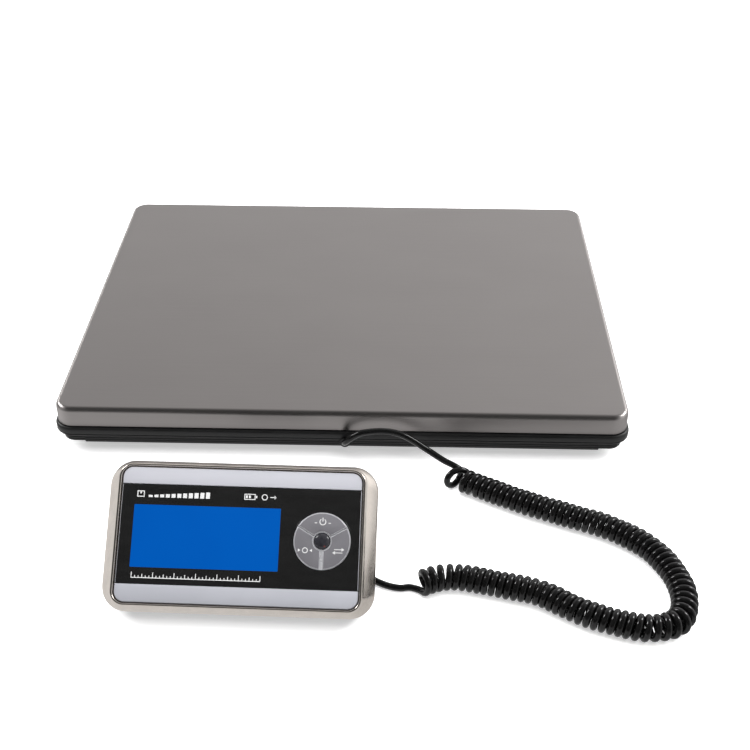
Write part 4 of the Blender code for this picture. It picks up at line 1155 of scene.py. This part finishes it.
def make_door():
    """Battery door with a thumb pad of ribs, an arrow and a rounded outer edge."""
    door = block(*DOOR_SIZE, 1.5, 0.0, DOOR_THICKNESS, bottom=0.5, centre=BAY_CENTRE, steps=8)
    u, w = BAY_CENTRE
    grooves = [block(16, 0.9, 0.4, -1, 0.45, centre=(u, w + 14 + 2.0 * rib), steps=4) for rib in range(5)]
    arrow = prism([(u - 2.6, w + 9.4), (u + 2.6, w + 9.4), (u, w + 12.0)], -1, 0.35)
    panel = frame_groove(DOOR_SIZE[0] - 6, DOOR_SIZE[1] - 6, 2.0, 0.0, 0.5, 0.3, BAY_CENTRE)
    door = cut(door, *grooves, arrow, panel)
    piece("bay_door", door, "battery_door", "housing_black", ["battery_door"])


def make_batteries():
    length, radius, spacing = 43.6, 5.2, 10.9
    start = BAY_CENTRE[1] - length / 2 - 0.5
    middle = DOOR_THICKNESS + radius + 0.9
    profile = [(0, length), (1.5, length), (1.9, 43.3), (1.9, 42.8), (4.5, 42.8), (4.9, 42.6),
               (5.15, 42.2), (radius, 41.6), (radius, 1.0), (5.1, 0.5), (4.8, 0.2), (4.3, 0.2),
               (4.0, 0.35), (3.4, 0.0), (0, 0.0)]
    for number in range(3):
        cell = turned(profile, 40)
        for face in cell.faces:
            centre = face.calc_center_median()
            face.material_index = int(centre.z > 42.65 or math.hypot(centre.x, centre.y) < 4.2)
        turn = (Matrix.Translation((BAY_CENTRE[0] + (number - 1) * spacing, start, middle))
                @ Matrix.Rotation(-math.pi / 2, 4, "X"))
        piece(f"cell_{number + 1}", moved(cell, turn), "display", "battery_jacket",
              [f"battery_{number + 1}"], ["battery_jacket", "zinc"])


def make_kickstand():
    """Folding leg with a sunk panel, a finger cut-out and a soft strip along its foot."""
    half, offset, length = 1.25, 0.85, 46.0
    outline = rounded_outline(STAND_WIDTH, length + half - 1.0, 3.0, (0, -(length + half + 1.0) / 2), 8)
    leg = prism(outline, -offset - half, -offset + half, 0.45, 3)
    round_over(leg, -offset - half, 0.45, 3)
    tip = [(-length - c, -offset + s) for c, s in sweep(half, 12, 90, -90)]
    tip = prism([(5.0, half - offset), *tip, (5.0, -half - offset)], -40, 40)
    turn = Matrix(((0, 0, 1, 0), (1, 0, 0, 0), (0, 1, 0, 0), (0, 0, 0, 1)))
    leg = combined(leg, [moved(tip, turn)], "INTERSECT")
    leg = unite(leg, moved(cylinder(2.2, -STAND_WIDTH / 2, STAND_WIDTH / 2), ALONG_X))
    bore = moved(cylinder(1.1, -40, 40, sides=24), ALONG_X)
    sunk = [block(36, 24, 2.0, -offset + half - 0.5, 5, centre=(0, -19), steps=6),
            block(36, 24, 2.0, -8, -offset - half + 0.5, centre=(0, -19), steps=6),
            cylinder(7.0, -8, 8, (0, -length - 3.0), 48)]
    piece("stand_leg", cut(leg, bore, *sunk), "kickstand", "housing_black", ["kickstand"])
    strips = [block(13, 2.2, 1.0, -offset - half - 0.02, -offset + half + 0.02, centre=(x, -44.2), steps=5)
              for x in (-15.5, 15.5)]
    piece("stand_grips", joined(*strips), "kickstand", "rubber")
    pin = turned([(0, -27.5), (0.7, -27.5), (1.0, -27.2), (1.0, 27.2), (0.7, 27.5), (0, 27.5)], 24)
    piece("stand_pin", moved(pin, AT_HINGE), "display", "zinc", ["kickstand_pin"])


def make_display_hardware():
    turn = Matrix.Translation((*DISPLAY_GLAND, 0)) @ Matrix.Rotation(math.pi, 4, "X")
    relief = moved(strain_relief(4.8, 0.3, 2.6, 10.5, 5), turn)
    make_hardware("display", screw(2.4, 1.1, 15.0, 4.1), DISPLAY_SCREWS, 31, relief)


# CAD nodes that stay

def dress_nodes():
    """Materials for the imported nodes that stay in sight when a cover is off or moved."""
    finishes = [
        (moulded, ("grid_black", (0.014,) * 3, 0.5), ["support_grid"]),
        (plated, ("cell_steel", (0.55, 0.55, 0.56), 0.34), [f"load_cell_{corner}" for corner in CORNERS]),
        (painted, ("wire_grey", (0.35, 0.35, 0.36), 0.5), [f"sensor_wire_{corner}" for corner in CORNERS]),
        (circuit_board, (), ["summing_board", "main_board"]),
        (plated, ("contact_steel", (0.62, 0.61, 0.58), 0.28), ["battery_springs", "battery_contacts"]),
        (painted, ("diffuser_white", (0.8, 0.8, 0.8), 0.5), ["lcd_backlight"]),
        (painted, ("cell_blue", (0.0, 0.1, 0.46), 0.2), ["lcd_module"]),
        (painted, ("switch_black", (0.03, 0.03, 0.035), 0.4), [f"switch_{key}" for key in KEYS]),
        (painted, ("tail_black", (0.01, 0.01, 0.01), 0.3), ["cord_base_tail"]),
    ]
    for make, looks, names in finishes:
        finish = make(*looks, source="object")
        for name in names:
            node = frame["nodes"][name]
            if not node.material_slots:
                node.data.materials.append(finish)
            for holder in node.material_slots:
                holder.material = finish


def make_finishes():
    """All finishes of the new pieces."""
    for make in (rubber, cable_jacket, brushed_stainless, window_gloss, silver_paint, lcd_glow, dome_gloss,
                 battery_jacket):
        make()
    moulded("base_black", (0.0048, 0.0048, 0.005), 0.4)
    moulded("housing_black", (0.0095, 0.0095, 0.01), 0.5, grain=0.02, grain_size=1.2)
    plated("zinc", (0.6, 0.6, 0.59), 0.32)
    plated("satin_nickel", (0.85, 0.78, 0.715), 0.2, 0.06)
    painted("light_trim", (0.42, 0.42, 0.44), 0.3, 0.3)
    painted("print_white", (0.52, 0.52, 0.52), 0.5)
    painted("key_grey", (0.125, 0.122, 0.133), 0.38, 0.15)


def main():
    make_camera()
    make_stage()
    make_finishes()
    make_cord()
    make_tray()
    make_base_shell()
    make_feet()
    make_base_hardware()
    make_housing()
    make_bezel()
    make_front()
    make_keypad()
    make_door()
    make_batteries()
    make_kickstand()
    make_display_hardware()
    dress_nodes()


main()
